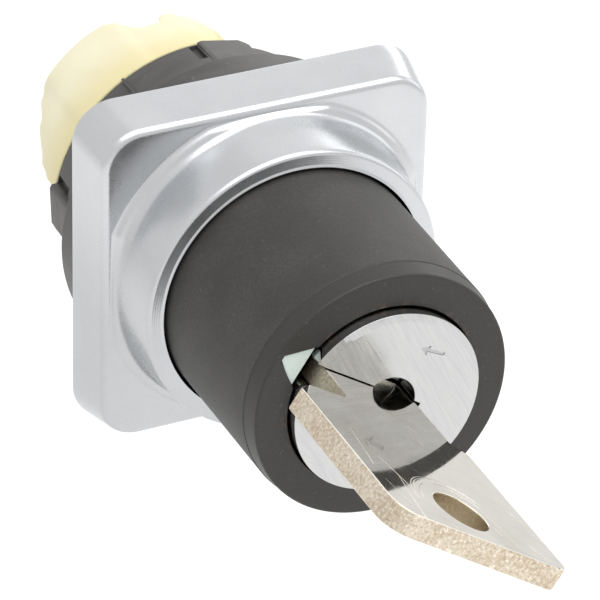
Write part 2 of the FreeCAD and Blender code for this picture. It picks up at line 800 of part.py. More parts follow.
def make_key():
    """Flat key with its bow set off towards the pointer, lying in the lock's own XY plane."""
    body = new_body("key", IN_LOCK_FRAME)
    thickness, low, high = size("key_thickness"), size("blade_low"), size("blade_high")
    sketch = new_sketch(body, "XY_Plane", -size("key_top"))
    draw_loop(
        sketch,
        [
            (low + 1.0, TIP),
            (high - 1.2, TIP),
            (high, TIP_SLOPE),
            (high, STOP_BACK),
            (STOP_WIDTH, STOP_BACK),
            (STOP_WIDTH, -size("plug_face")),
            STOP_ROOT,
            NECK_SIDE,
            BOW_SHOULDER,
            BOW_FAR_CORNER,
            BOW_NEAR_CORNER,
            HEEL,
            (low, HEEL_FROM),
            (low, TIP_SLOPE),
        ],
    )
    draw_circle(sketch, *RING_HOLE, RING_HOLE_RADIUS)
    extrude(body, "Pad", sketch, thickness)

    def upright_at(x, y):
        return lambda e: abs(e.CenterOfMass.x - x) < 0.01 and abs(e.CenterOfMass.y - y) < 0.01

    dress(body, "Fillet", 2.2, upright_at(*BOW_FAR_CORNER))
    dress(body, "Fillet", 1.0, upright_at(*BOW_NEAR_CORNER))
    dress(body, "Fillet", 0.6, upright_at(*BOW_SHOULDER))
    dress(body, "Fillet", 0.6, upright_at(*NECK_SIDE))
    cuts = new_sketch(body, "XY_Plane", -size("key_top") + thickness)
    for k, depth in enumerate(KEY_CUTS):
        y = -size("wafer_first") + size("wafer_pitch") * k
        outside, inside = low - 0.3, low + depth
        draw_loop(
            cuts,
            [(outside, y - 0.75), (inside, y - 0.25), (inside, y + 0.25), (outside, y + 0.75)],
        )
    extrude(body, "Pocket", cuts, thickness)


def make_wafers():
    """Flat wafers with a window for the key's blade and an arm over the spring."""
    thickness, half = float(size("wafer_thickness")), float(size("wafer_half_width"))
    wafers = []
    for k in range(WAFERS):
        y = -float(size("wafer_first")) + k * float(size("wafer_pitch")) - thickness / 2
        plate = block(-5.1, 5.5, y, y + thickness, -half, half)
        arm = block(0.9, 2.1, y, y + thickness, ARM_PLACE - 0.6, -half + 0.1)
        window = block(-3.45, 4.25, y - 1, y + thickness + 1, -1.15, 1.35)
        wafers.append(plate.fuse(arm).cut(window).removeSplitter())
    new_feature("wafers", Part.makeCompound(wafers), IN_LOCK_FRAME)


# ---------------------------------------------------------------------------------------------
# Pushers and their springs
# ---------------------------------------------------------------------------------------------

TIP_GAP = 0.15
PUSHER_LENGTH = 11.55
SEAT_FROM, SEAT_TO, SEAT_RADIUS = 0.9, 1.5, 2.7
NOSE_WIDTH = 1.2
RETURN_SPRING_RADIUS, RETURN_SPRING_WIRE, RETURN_SPRING_TURNS = 2.25, 0.16, 2.5


def make_pusher(label, side, pushed=0.0):
    """Round-nosed plunger with a spring seat; pushed is how far the cam holds it back at rest."""
    front = size("cam_low") + TIP_GAP + pushed
    place = Placement(Vector(side * float(size("pusher_orbit")), 0, 0), Rotation())
    body = new_body(label, place)
    radius = size("pusher_radius")
    turn_profile(
        body,
        "Revolution",
        [
            (0, front),
            (NOSE_WIDTH, front),
            (NOSE_WIDTH, front + SEAT_FROM),
            (SEAT_RADIUS, front + SEAT_FROM),
            (SEAT_RADIUS, front + SEAT_TO),
            (radius, front + SEAT_TO),
            (radius, front + PUSHER_LENGTH),
            (0, front + PUSHER_LENGTH),
        ],
    )
    dress(body, "Fillet", 0.8, round_edge_at(front, NOSE_WIDTH))
    dress(body, "Chamfer", 0.25, round_edge_at(front + PUSHER_LENGTH, radius))

    spring = lofted_spring(
        float(front) + SEAT_TO + 0.05,
        float(size("guide_front")) - 0.05,
        RETURN_SPRING_RADIUS,
        RETURN_SPRING_WIRE,
        RETURN_SPRING_TURNS,
    )
    new_feature(label.replace("pusher", "return_spring"), spring, place)


# ---------------------------------------------------------------------------------------------
# Behind the panel
# ---------------------------------------------------------------------------------------------

FIRST_LUG = 85.0  # phi of the first of the nut's four lugs
SLOT_LENGTH, SLOT_WIDTH = 2.6, 0.7
SLOT_OFF = 8.9  # how far round a slot stands from its lug's middle, in degrees
SPIGOT_RADIUS = 12.35
WING_MIDDLES = (128.0, 308.0)
WING_RIM = (
    (-46, -40, 3.8),
    (-40, -33, 1.9),
    (-33, -22, 2.7),
    (-22, -15, 1.0),
    (-15, 15, 0.0),
    (15, 22, 1.0),
    (22, 33, 2.6),
    (33, 40, 2.0),
    (40, 46, 4.2),
)  # from and to, either side of a wing's middle, and how far short of the whole its rim stops


def make_nut():
    """Black mounting nut: hollow front flange, threaded web and four spanner lugs."""
    body = new_body("mounting_nut", Placement(Vector(0, 0, 0), Rotation(Vector(0, 1, 0), -FIRST_LUG)))
    front, back = size("nut_front"), size("nut_back")
    flange, flange_back, bore = size("flange_radius"), size("flange_back"), size("nut_bore")
    web, hollow = size("plain_neck") + 0.1, size("nut_hollow")
    turn_profile(
        body,
        "Revolution",
        [
            (hollow, front),
            (flange - 0.3, front),
            (flange, front + 0.3),
            (flange, flange_back - 0.3),
            (flange - 0.3, flange_back),
            (size("nut_radius"), flange_back),
            (size("nut_radius") - 0.1, back),
            (SPIGOT_RADIUS, back),
            (SPIGOT_RADIUS, size("nut_web_back")),
            (bore, size("nut_web_back")),
            (bore, web),
            (hollow, web),
        ],
    )
    lug = new_sketch(body, "XZ_Plane", -back + 0.05)
    half = size("lug_width") / 2
    draw_loop(lug, rectangle(size("nut_radius") - 0.5, size("lug_radius"), -half, half))
    pad = extrude(body, "Pad", lug, back - flange_back)
    pattern = body.newObject("PartDesign::PolarPattern", "nut_lugs")
    pattern.Originals = [pad]
    pattern.Axis = (origin_feature(body, "Y_Axis"), [""])
    pattern.Angle = 360
    pattern.Occurrences = 4
    body.Tip = pattern
    doc.recompute()
    # a narrow slot beside each lug, on alternate sides
    slots = new_sketch(body, "XZ_Plane", as_dim(SLOT_LENGTH) - back)
    for k in range(4):
        phi = math.radians(90 * k + (SLOT_OFF if k % 2 == 0 else -SLOT_OFF))
        c, s = math.cos(phi), math.sin(phi)
        corners = rectangle(12.8, 14.4, -SLOT_WIDTH / 2, SLOT_WIDTH / 2)
        draw_loop(slots, [(x * c - z * s, x * s + z * c) for x, z in corners])
    extrude(body, "Pocket", slots, SLOT_LENGTH + 0.1)


def make_lock_ring():
    """Pale yellow ring behind the nut, with two wings to turn it by."""
    front, outer = float(size("ring_front")), float(size("ring_radius"))
    bore, rim, inside = size("ring_bore"), float(size("ring_rim")), size("wing_inside")
    foot = front + 0.5
    ring = tube(bore, outer, front, front + 1.0)
    ring = ring.fuse(tube(bore, SPIGOT_RADIUS - 0.15, size("spigot_front"), foot))
    for middle in WING_MIDDLES:
        for start, end, short in WING_RIM:
            ring = ring.fuse(sector(inside, outer, foot, rim - short, middle + start, middle + end))
    new_feature("lock_ring", ring.removeSplitter())


# ---------------------------------------------------------------------------------------------
# Build, check and export
# ---------------------------------------------------------------------------------------------

make_bezel()
make_gasket()
make_shaft_seal()
make_stator()
make_stator_clip()
make_detent_spring()
make_pusher_guide()
make_guide_clip()
make_barrel()
make_pointer()
make_plug()
make_drive_pins()
make_plug_clip()
make_wafer_springs()
make_cam()
make_cam_fasteners()
make_key()
make_wafers()
make_pusher("pusher_left", -1, size("push_travel"))
make_pusher("pusher_right", 1)
make_nut()
make_lock_ring()
doc.recompute()

for item in doc.Objects:
    if "Invalid" in item.State or "Error" in item.State:
        raise RuntimeError(f"{item.Label} failed: {item.State}")
for node in nodes:
    if node.Shape.isNull() or not node.Shape.isValid():
        raise RuntimeError(f"{node.Label} has no valid shape")

os.makedirs("parts", exist_ok=True)
for node in nodes:
    node.Shape.exportStep(f"parts/{node.Label}.step")
    print(f"{node.Label}: {len(node.Shape.Solids)} solid(s), {node.Shape.Volume:.1f} mm3")
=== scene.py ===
"""Looks of the selector key switch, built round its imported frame.

The frame is in metres: +Z up, +X right, the front looks along -Y, and the origin is the centre of
the panel hole. Shapes are drawn here in millimetres and scaled by MM when a mesh is made. Angles
named phi are measured about the Y axis, from +X towards +Z. The lock and the key are drawn in a
frame of their own, whose +X points at the pointer, and LOCK_TURN stands them in place.
"""
import math

import bmesh
import bpy
from mathutils import Matrix, Quaternion, Vector


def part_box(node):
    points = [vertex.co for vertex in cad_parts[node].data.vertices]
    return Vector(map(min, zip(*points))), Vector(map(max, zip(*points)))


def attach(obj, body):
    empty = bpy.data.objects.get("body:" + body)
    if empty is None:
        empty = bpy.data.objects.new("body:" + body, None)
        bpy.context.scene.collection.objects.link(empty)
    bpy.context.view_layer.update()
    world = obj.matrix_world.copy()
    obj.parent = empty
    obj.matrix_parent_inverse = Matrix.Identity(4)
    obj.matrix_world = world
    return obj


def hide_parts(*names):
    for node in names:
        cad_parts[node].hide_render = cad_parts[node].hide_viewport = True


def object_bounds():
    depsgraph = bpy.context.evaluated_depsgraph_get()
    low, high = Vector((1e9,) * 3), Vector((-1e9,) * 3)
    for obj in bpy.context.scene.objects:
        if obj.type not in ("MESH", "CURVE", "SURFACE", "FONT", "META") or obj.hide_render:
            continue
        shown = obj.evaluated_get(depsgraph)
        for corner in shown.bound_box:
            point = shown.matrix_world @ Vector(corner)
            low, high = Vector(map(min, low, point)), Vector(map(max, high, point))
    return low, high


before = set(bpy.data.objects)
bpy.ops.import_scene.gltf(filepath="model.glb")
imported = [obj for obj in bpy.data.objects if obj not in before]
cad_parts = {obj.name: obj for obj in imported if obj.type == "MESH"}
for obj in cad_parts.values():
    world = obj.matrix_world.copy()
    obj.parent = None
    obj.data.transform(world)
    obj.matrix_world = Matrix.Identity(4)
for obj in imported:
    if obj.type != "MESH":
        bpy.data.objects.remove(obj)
cad_low, cad_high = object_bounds()

MM = 0.001
LOCK_ANGLE = 147  # degrees that the lock and key are turned at rest
LOCK_TURN = Matrix.Rotation(math.radians(-LOCK_ANGLE), 4, "Y")
AROUND = 480  # points round a turned surface
COPLANAR = 1.0  # degrees within which neighbouring faces are joined


def extent(node):
    """Lowest and highest corner of a CAD node, in millimetres."""
    low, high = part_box(node)
    return low / MM, high / MM


# ---------------------------------------------------------------------------------------------
# Mesh helpers
# ---------------------------------------------------------------------------------------------


def rounded(corners, step=15):
    """A closed outline from corners (x, y) or (x, y, fillet radius), with an arc at each fillet."""
    points = []
    count = len(corners)
    for i, corner in enumerate(corners):
        here = Vector(corner[:2])
        if len(corner) < 3:
            points.append(here)
            continue
        before = (Vector(corners[i - 1][:2]) - here).normalized()
        after = (Vector(corners[(i + 1) % count][:2]) - here).normalized()
        between = before.angle(after)
        radius = corner[2]
        turn = math.pi - between
        centre = here + (before + after).normalized() * (radius / math.sin(between / 2))
        start = here + before * (radius / math.tan(between / 2)) - centre
        sign = 1 if before.x * after.y - before.y * after.x < 0 else -1
        steps = max(2, round(math.degrees(turn) / step))
        for k in range(steps + 1):
            angle = sign * turn * k / steps
            c, s = math.cos(angle), math.sin(angle)
            points.append(centre + Vector((start.x * c - start.y * s, start.x * s + start.y * c)))
    return points


def quarter(steps):
    """Cosine and sine at equal steps of a quarter turn, from its start to its end."""
    angles = [math.radians(90 * k / steps) for k in range(steps + 1)]
    return [(math.cos(a), math.sin(a)) for a in angles]


def mesh_piece(name, vertices, faces):
    """A new object from vertices in millimetres."""
    mesh = bpy.data.meshes.new(name)
    mesh.from_pydata([Vector(v) * MM for v in vertices], [], faces)
    piece = bpy.data.objects.new(name, mesh)
    bpy.context.scene.collection.objects.link(piece)
    work = bmesh.new()
    work.from_mesh(mesh)
    bmesh.ops.remove_doubles(work, verts=work.verts, dist=1e-8)
    bmesh.ops.recalc_face_normals(work, faces=work.faces)
    work.to_mesh(mesh)
    work.free()
    return piece


def loft(name, section, count=AROUND):
    """A ring about the Y axis: section(phi) gives its closed (radius, y) outline at each phi."""
    vertices, faces = [], []
    size = 0
    for i in range(count):
        phi = 2 * math.pi * i / count
        outline = section(phi)
        size = len(outline)
        vertices += [(r * math.cos(phi), y, r * math.sin(phi)) for r, y in outline]
    for i in range(count):
        here, there = i * size, (i + 1) % count * size
        for k in range(size):
            following = (k + 1) % size
            faces.append((here + k, here + following, there + following, there + k))
    return mesh_piece(name, vertices, faces)


def lathe(name, corners, count=AROUND):
    """A turned ring or, where the outline touches the axis, a turned solid."""
    outline = rounded(corners)
    return loft(name, lambda phi: outline, count)


def prism(name, outline, near, far):
    """A solid of an (x, z) outline, from y near to y far."""
    count = len(outline)
    vertices = [(x, y, z) for y in (near, far) for x, z in outline]
    faces = [tuple(range(count)), tuple(range(count, 2 * count))]
    for k in range(count):
        following = (k + 1) % count
        faces.append((k, following, count + following, count + k))
    return mesh_piece(name, vertices, faces)


def box(name, x0, x1, y0, y1, z0, z1):
    """A plain block, used as a cutter."""
    return prism(name, [(x0, z0), (x1, z0), (x1, z1), (x0, z1)], y0, y1)


def disc(radius, x=0.0, z=0.0, count=64):
    """The (x, z) outline of a circle."""
    turns = [2 * math.pi * k / count for k in range(count)]
    return [(x + radius * math.cos(a), z + radius * math.sin(a)) for a in turns]


def apply_all(piece):
    """Turns a piece's modifiers into its mesh."""
    bpy.context.view_layer.update()
    evaluated = piece.evaluated_get(bpy.context.evaluated_depsgraph_get())
    mesh = bpy.data.meshes.new_from_object(evaluated)
    piece.modifiers.clear()
    piece.data = mesh


def cut(piece, cutters, operation="DIFFERENCE"):
    """Cuts the cutters out of the piece, or adds them to it, and removes them."""
    group = bpy.data.collections.new(f"{piece.name}_cutters")
    for cutter in cutters:
        group.objects.link(cutter)
    for cutter in cutters:
        step = piece.modifiers.new("cut", "BOOLEAN")
        step.operation = operation
        step.object = cutter
        step.solver = "EXACT"
    apply_all(piece)
    for cutter in cutters:
        bpy.data.objects.remove(cutter)
    bpy.data.collections.remove(group)


def turn(piece, matrix=LOCK_TURN):
    """Turns a piece's mesh, from the lock's own frame unless another matrix is given."""
    piece.data.transform(matrix)


def clean(piece):
    """Joins coplanar faces and drops doubled points."""
    work = bmesh.new()
    work.from_mesh(piece.data)
    bmesh.ops.remove_doubles(work, verts=work.verts, dist=2e-7)
    flat = math.radians(COPLANAR)
    bmesh.ops.dissolve_limit(work, angle_limit=flat, verts=work.verts, edges=work.edges)
    work.to_mesh(piece.data)
    work.free()


def smooth(piece, sharp_from=None):
    """Smooth shading, with edges kept sharp from that angle in degrees."""
    for polygon in piece.data.polygons:
        polygon.use_smooth = True
    if sharp_from is not None:
        piece.data.set_sharp_from_angle(angle=math.radians(sharp_from))


def bevel_edges(piece, width, segments, angle):
    """Rounds the edges that are sharper than angle, in degrees, by width in millimetres."""
    bevel = piece.modifiers.new("edges", "BEVEL")
    bevel.width = width * MM
    bevel.segments = segments
    bevel.limit_method = "ANGLE"
    bevel.angle_limit = math.radians(angle)
    bevel.harden_normals = True


def soften(piece, width, segments=2, angle=38):
    """Small rounded edges, with the shading smooth elsewhere."""
    clean(piece)
    smooth(piece)
    bevel_edges(piece, width, segments, angle)
    weigh_normals(piece)
    apply_all(piece)


def weigh_normals(piece):
    """Lets large faces shade flat, so that only the rounded edges beside them bend the light."""
    weighted = piece.modifiers.new("weighted", "WEIGHTED_NORMAL")
    weighted.mode = "FACE_AREA"
    weighted.weight = 90
    weighted.keep_sharp = True


def place(piece, body, slot, material, *nodes):
    """Gives a piece its material and its body, and hides the CAD nodes that it stands for."""
    piece.data.materials.clear()
    piece.data.materials.append(material)
    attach(piece, body)
    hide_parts(*nodes)


# ---------------------------------------------------------------------------------------------
# Material helpers
# ---------------------------------------------------------------------------------------------


class Finish:
    """A material with one Principled shader, and short calls for the nodes that shape it."""

    def __init__(self, name, color, roughness, metallic=0.0, **plain):
        self.material = bpy.data.materials.new(name)
        self.material.use_nodes = True
        self.tree = self.material.node_tree
        self.shader = self.tree.nodes["Principled BSDF"]
        self.shader.inputs["Base Color"].default_value = (*color, 1)
        self.shader.inputs["Roughness"].default_value = roughness
        self.shader.inputs["Metallic"].default_value = metallic
        for socket, value in plain.items():
            self.shader.inputs[socket.replace("_", " ")].default_value = value
        self.place = self.node("ShaderNodeTexCoord").outputs["Object"]
        self.normal = None

    def node(self, kind, **settings):
        made = self.tree.nodes.new(kind)
        for key, value in settings.items():
            setattr(made, key, value)
        return made

    def feed(self, socket, value):
        """Links an output to a socket, or sets the socket's plain value."""
        if isinstance(value, bpy.types.NodeSocket):
            self.tree.links.new(value, socket)
        elif isinstance(value, tuple) and len(socket.default_value) == 4:
            socket.default_value = (*value, 1)
        else:
            socket.default_value = value

    def math(self, operation, a, b=0.0, c=0.0):
        made = self.node("ShaderNodeMath", operation=operation)
        for socket, value in zip(made.inputs, (a, b, c)):
            self.feed(socket, value)
        return made.outputs[0]

    def mapped(self, scale=(1, 1, 1), turned=(0, 0, 0), moved=(0, 0, 0), vector=None):
        """Coordinates turned, in degrees, and moved, then scaled."""
        first = self.node("ShaderNodeMapping", vector_type="POINT")
        self.feed(first.inputs["Vector"], vector or self.place)
        first.inputs["Location"].default_value = moved
        first.inputs["Rotation"].default_value = [math.radians(a) for a in turned]
        second = self.node("ShaderNodeMapping", vector_type="POINT")
        self.feed(second.inputs["Vector"], first.outputs[0])
        second.inputs["Scale"].default_value = scale
        return second.outputs[0]

    def noise(self, scale, detail=3.0, rough=0.55, vector=None, distortion=0.0):
        """Noise whose grains are about 1 / scale metres across."""
        made = self.node("ShaderNodeTexNoise")
        self.feed(made.inputs["Vector"], vector or self.place)
        made.inputs["Scale"].default_value = scale
        made.inputs["Detail"].default_value = detail
        made.inputs["Roughness"].default_value = rough
        made.inputs["Distortion"].default_value = distortion
        return made.outputs[0]

    def fit(self, value, low, high, to_low=0.0, to_high=1.0):
        """Value from low..high to to_low..to_high, held within them and eased."""
        made = self.node("ShaderNodeMapRange", interpolation_type="SMOOTHSTEP")
        self.feed(made.inputs["Value"], value)
        for socket, number in zip(list(made.inputs)[1:5], (low, high, to_low, to_high)):
            socket.default_value = number
        return made.outputs[0]

    def mix(self, share, a, b):
        """Colours a and b, mixed by share."""
        made = self.node("ShaderNodeMix", data_type="RGBA")
        self.feed(made.inputs[0], share)
        self.feed(made.inputs[6], a)
        self.feed(made.inputs[7], b)
        return made.outputs[2]

    def axis(self, name, vector=None):
        """One coordinate, X, Y or Z, in metres."""
        made = self.node("ShaderNodeSeparateXYZ")
        self.feed(made.inputs[0], vector or self.place)
        return made.outputs[name]

    def distance(self, centre, keep=(1, 1, 1), vector=None):
        """Distance from a point in millimetres, along the kept axes only."""
        away = self.node("ShaderNodeVectorMath", operation="SUBTRACT")
        self.feed(away.inputs[0], vector or self.place)
        away.inputs[1].default_value = [c * MM for c in centre]
        flat = self.node("ShaderNodeVectorMath", operation="MULTIPLY")
        self.feed(flat.inputs[0], away.outputs[0])
        flat.inputs[1].default_value = keep
        length = self.node("ShaderNodeVectorMath", operation="LENGTH")
        self.feed(length.inputs[0], flat.outputs[0])
        return length.outputs["Value"]

    def from_axis(self):
        """Distance from the switch's axis, in metres."""
        return self.distance((0, 0, 0), (1, 0, 1))

    def product(self, first, *others):
        """All the values multiplied together."""
        for other in others:
            first = self.math("MULTIPLY", first, other)
        return first

    def color(self, value):
        self.feed(self.shader.inputs["Base Color"], value)

    def roughness(self, value):
        self.feed(self.shader.inputs["Roughness"], value)

    def bump(self, height, depth, strength=1.0):
        """Raises the surface by height times depth, in millimetres."""
        made = self.node("ShaderNodeBump")
        made.inputs["Strength"].default_value = strength
        made.inputs["Distance"].default_value = depth * MM
        self.feed(made.inputs["Height"], height)
        if self.normal is not None:
            self.feed(made.inputs["Normal"], self.normal)
        self.normal = made.outputs[0]
        self.feed(self.shader.inputs["Normal"], self.normal)


LOCK_TURNED_BACK = (0, LOCK_ANGLE, 0)  # turns row coordinates into the lock's own
KEY_HOLE = (4.8, -46.6, 0)  # centre of the key's ring hole in the lock's own frame
FLAT = (1, 1, 0)  # the axes of the key's faces in the lock's own frame


# ---------------------------------------------------------------------------------------------
# Materials
# ---------------------------------------------------------------------------------------------


def satin_casting():
    """Satin chromed die casting: cloudy roughness, painted shade darker towards the lower left,
    very fine peen, turned rim.
    """
    f = Finish("satin_casting", (0.6, 0.61, 0.625), 0.2, 1.0)
    clouds = f.noise(160, 4)
    bright = f.mix(f.fit(clouds, 0.3, 0.7), (0.615, 0.628, 0.645), (0.645, 0.656, 0.672))
    # painted shade: the colour darkens towards the lower left, clouded a little
    painted_shade = f.fit(f.math("ADD", f.axis("X"), f.axis("Z")), -0.019, -0.003, 1.0, 0.0)
    painted_shade = f.product(painted_shade, f.fit(clouds, 0.2, 0.7, 0.8, 1.0))
    f.color(f.mix(painted_shade, bright, (0.495, 0.505, 0.515)))
    f.roughness(f.fit(f.noise(420, 5), 0.3, 0.7, 0.25, 0.3))
    f.bump(f.noise(2600, 2), 0.0003)
    on_rim = f.fit(f.axis("Y"), -0.01024, -0.01021, 1.0, 0.0)
    rings = f.math("SINE", f.product(f.from_axis(), 31000.0))
    f.bump(f.product(rings, f.product(on_rim, f.noise(240, 3))), 0.0012)
    return f.material


def black_plastic():
    """Spark-textured black moulding, smooth in front of the parting line and on its face."""
    f = Finish("black_plastic", (0.03, 0.029, 0.028), 0.5)
    in_front = f.fit(f.axis("Y"), -0.02465, -0.02445, 1.0, 0.0)
    near_lock = f.fit(f.from_axis(), 0.0079, 0.0088, 1.0, 0.0)
    grain = f.noise(5200, 2, 0.6)
    # painted highlights: tiny light specks stand in for glints on the spark texture
    painted_glints = f.fit(f.noise(3400, 1), 0.70, 0.76)
    base = f.mix(f.fit(f.noise(240, 3), 0.3, 0.7), (0.032, 0.0305, 0.0285), (0.044, 0.042, 0.039))
    base = f.mix(in_front, base, (0.027, 0.0255, 0.0235))
    dark = f.fit(f.noise(4200, 2, 0.7), 0.42, 0.6, 0.0, 0.45)
    base = f.mix(dark, base, (0.019, 0.018, 0.017))
    # the painted glints are mixed into the colour as light specks
    base = f.mix(f.product(painted_glints, 0.25), base, (0.16, 0.15, 0.14))
    rust = f.product(near_lock, f.fit(f.noise(1500, 4, 0.7), 0.52, 0.66))
    f.color(f.mix(f.product(rust, 0.6), base, (0.13, 0.075, 0.04)))
    f.roughness(f.fit(in_front, 0, 1, 0.56, 0.44))
    f.bump(f.product(grain, f.math("SUBTRACT", 1.0, in_front)), 0.02)
    f.bump(f.noise(1400, 4), 0.004)
    return f.material


def nut_plastic():
    """Dark grey moulding with faint flow marks and lighter scuffs."""
    f = Finish("nut_plastic", (0.05, 0.048, 0.046), 0.42)
    flow = f.noise(300, 4, vector=f.mapped((1, 4, 1)))
    scuffs = f.fit(f.noise(2600, 3, vector=f.mapped((1, 0.25, 1))), 0.66, 0.74)
    base = f.mix(f.fit(flow, 0.3, 0.7), (0.05, 0.0475, 0.045), (0.074, 0.071, 0.067))
    f.color(f.mix(f.product(scuffs, 0.3), base, (0.2, 0.2, 0.19)))
    f.roughness(f.fit(flow, 0.3, 0.7, 0.38, 0.5))
    f.bump(f.noise(3000, 2), 0.006)
    return f.material


def cream_plastic():
    """Translucent cream nylon: clouded and softly grained, its colour deepened near the nut by
    painted shade.
    """
    f = Finish(
        "cream_plastic",
        (0.78, 0.73, 0.52),
        0.36,
        Subsurface_Weight=0.15,
        Subsurface_Radius=(0.0012, 0.001, 0.0006),
        Subsurface_Scale=1.0,
    )
    # painted shade: the colour deepens towards the front, where the thin translucent wall meets the
    # dark nut
    painted_root_shade = f.fit(f.axis("Y"), 0.0088, 0.0142, 1.0, 0.0)
    clouds = f.fit(f.noise(260, 4), 0.3, 0.7)
    pale = f.mix(clouds, (0.745, 0.70, 0.50), (0.785, 0.745, 0.555))
    # the painted shade is mixed in at the front of the ring
    f.color(f.mix(f.product(painted_root_shade, 0.75), pale, (0.70, 0.61, 0.30)))
    f.roughness(f.fit(clouds, 0, 1, 0.32, 0.44))
    f.bump(f.noise(700, 4), 0.012)
    return f.material


def pointer_plastic():
    """Pale mint inlay with a slightly dirty, chipped rim."""
    f = Finish("pointer_plastic", (0.62, 0.71, 0.67), 0.3)
    dirt = f.fit(f.noise(1900, 4, 0.7), 0.56, 0.68)
    f.color(f.mix(f.product(dirt, 0.4), (0.63, 0.72, 0.685), (0.36, 0.4, 0.37)))
    f.roughness(f.fit(dirt, 0, 1, 0.25, 0.5))
    f.bump(f.noise(1200, 3), 0.012)
    return f.material


def nickel():
    """Polished nickel: a face with fine slanting streaks, a mirror chamfer, a cast slot darkened
    with painted shade.
    """
    f = Finish("nickel", (0.6, 0.605, 0.6), 0.12, 1.0)
    lock = f.mapped(turned=LOCK_TURNED_BACK)
    off = f.math("ABSOLUTE", f.math("SUBTRACT", f.axis("Z", lock), 0.0001))
    behind = f.fit(f.axis("Y"), -0.02741, -0.02728)
    across = f.axis("X", lock)
    near_slot = f.product(f.fit(off, 0.00105, 0.0012, 1.0, 0.0), f.fit(across, -0.003, -0.0028))
    in_slot = f.product(near_slot, behind)
    below_face = f.fit(f.axis("Y"), -0.02741, -0.02739)
    below_arrow = f.fit(f.axis("Y"), -0.02734, -0.02732)
    inside_edge = f.fit(f.from_axis(), 0.0062, 0.0064, 1.0, 0.0)
    in_arrow = f.product(f.math("SUBTRACT", below_face, below_arrow), inside_edge)
    on_face = f.fit(f.from_axis(), 0.0070, 0.0073, 1.0, 0.0)
    streaks = f.noise(900, 5, 0.65, f.mapped((9, 1, 0.35), (0, 28, 0)))
    fine = f.noise(2600, 3, 0.6, f.mapped((12, 1, 0.3), (0, 34, 0)))
    plate = f.mix(f.fit(streaks, 0.3, 0.7), (0.53, 0.535, 0.535), (0.61, 0.61, 0.605))
    plate = f.mix(f.product(in_arrow, 0.75), plate, (0.42, 0.42, 0.425))
    cast = f.noise(6000, 3, 0.7)
    # the slot wall's own cast grain, kept mostly near black by painted shade
    cast_grain_and_shade = f.mix(f.fit(cast, 0.5, 0.64), (0.03, 0.026, 0.02), (0.5, 0.43, 0.31))
    # painted shade: darker still, to near black, deeper in the slot
    cast_grain_and_shade = f.mix(f.fit(f.axis("Y"), -0.0266, -0.0256), cast_grain_and_shade, (0.012, 0.011, 0.01))
    f.color(f.mix(in_slot, plate, cast_grain_and_shade))
    rough = f.fit(streaks, 0.3, 0.7, 0.13, 0.24)
    rough = f.product(rough, f.fit(on_face, 0, 1, 0.35, 1.0))
    f.roughness(f.math("ADD", rough, f.product(in_slot, 0.3)))
    f.bump(f.product(fine, on_face), 0.0008)
    f.bump(f.product(cast, in_slot), 0.06)
    return f.material


def key_face():
    """Nickel-plated face of the key: nearly a mirror, with long scratches and a worn tint."""
    f = Finish("key_face", (0.76, 0.73, 0.66), 0.06, 1.0)
    lock = f.mapped(turned=LOCK_TURNED_BACK)
    wear = f.fit(f.noise(220, 5, 0.6), 0.35, 0.7)
    tint = f.mix(wear, (0.86, 0.83, 0.755), (0.76, 0.725, 0.645))
    scratches = None
    for angle, shift, level in ((14, 0.3, 0.70), (-9, 0.7, 0.72), (32, 1.3, 0.735)):
        bent = f.mapped((2.6, 0.07, 1), (0, 0, angle), (shift, 0, 0), lock)
        line = f.fit(f.noise(900, 2, 0.5, bent, 0.35), level, level + 0.025)
        scratches = line if scratches is None else f.math("MAXIMUM", scratches, line)
    hole = f.distance(KEY_HOLE, FLAT, lock)
    patchy = f.fit(f.noise(160, 2), 0.45, 0.6)
    for radius in (3.5, 4.1, 4.3):
        off = f.math("ABSOLUTE", f.math("SUBTRACT", hole, radius * MM))
        ring = f.product(f.fit(off, 0.0, 0.00005, 1.0, 0.0), patchy)
        scratches = f.math("MAXIMUM", scratches, ring)
    f.color(f.mix(f.product(scratches, 0.5), tint, (0.86, 0.76, 0.6)))
    haze = f.fit(f.noise(1300, 4), 0.3, 0.75, 0.03, 0.08)
    f.roughness(f.math("ADD", haze, f.product(scratches, 0.25)))
    f.bump(scratches, 0.008)
    f.bump(f.noise(130, 2), 0.01)
    return f.material


def key_edge():
    """Sheared edge of the key: grainy beige-gold with bright specks."""
    f = Finish("key_edge", (0.78, 0.66, 0.5), 0.42, 1.0)
    grain = f.noise(3900, 3, 0.75)
    patches = f.fit(f.noise(420, 3), 0.35, 0.65)
    base = f.mix(patches, (0.75, 0.665, 0.54), (0.65, 0.55, 0.42))
    base = f.mix(f.fit(grain, 0.36, 0.5, 0.5, 0.0), base, (0.40, 0.31, 0.21))
    base = f.mix(f.fit(grain, 0.53, 0.66, 0.0, 0.8), base, (0.95, 0.90, 0.80))
    lock = f.mapped(turned=LOCK_TURNED_BACK)
    in_hole = f.fit(f.distance(KEY_HOLE, FLAT, lock), 0.0026, 0.0028, 0.75, 0.0)
    f.color(f.mix(in_hole, base, (0.33, 0.255, 0.14)))
    f.roughness(f.fit(grain, 0.3, 0.7, 0.52, 0.36))
    f.bump(grain, 0.05)
    return f.material


def brass():
    """Bare brass with rolling lines and dull patches."""
    f = Finish("brass", (0.78, 0.6, 0.3), 0.25, 1.0)
    lines = f.noise(1200, 3, vector=f.mapped((1, 12, 1)))
    f.color(f.mix(f.fit(f.noise(500, 4), 0.35, 0.7), (0.80, 0.62, 0.32), (0.58, 0.43, 0.22)))
    f.roughness(f.fit(lines, 0.3, 0.7, 0.2, 0.38))
    f.bump(lines, 0.004)
    return f.material


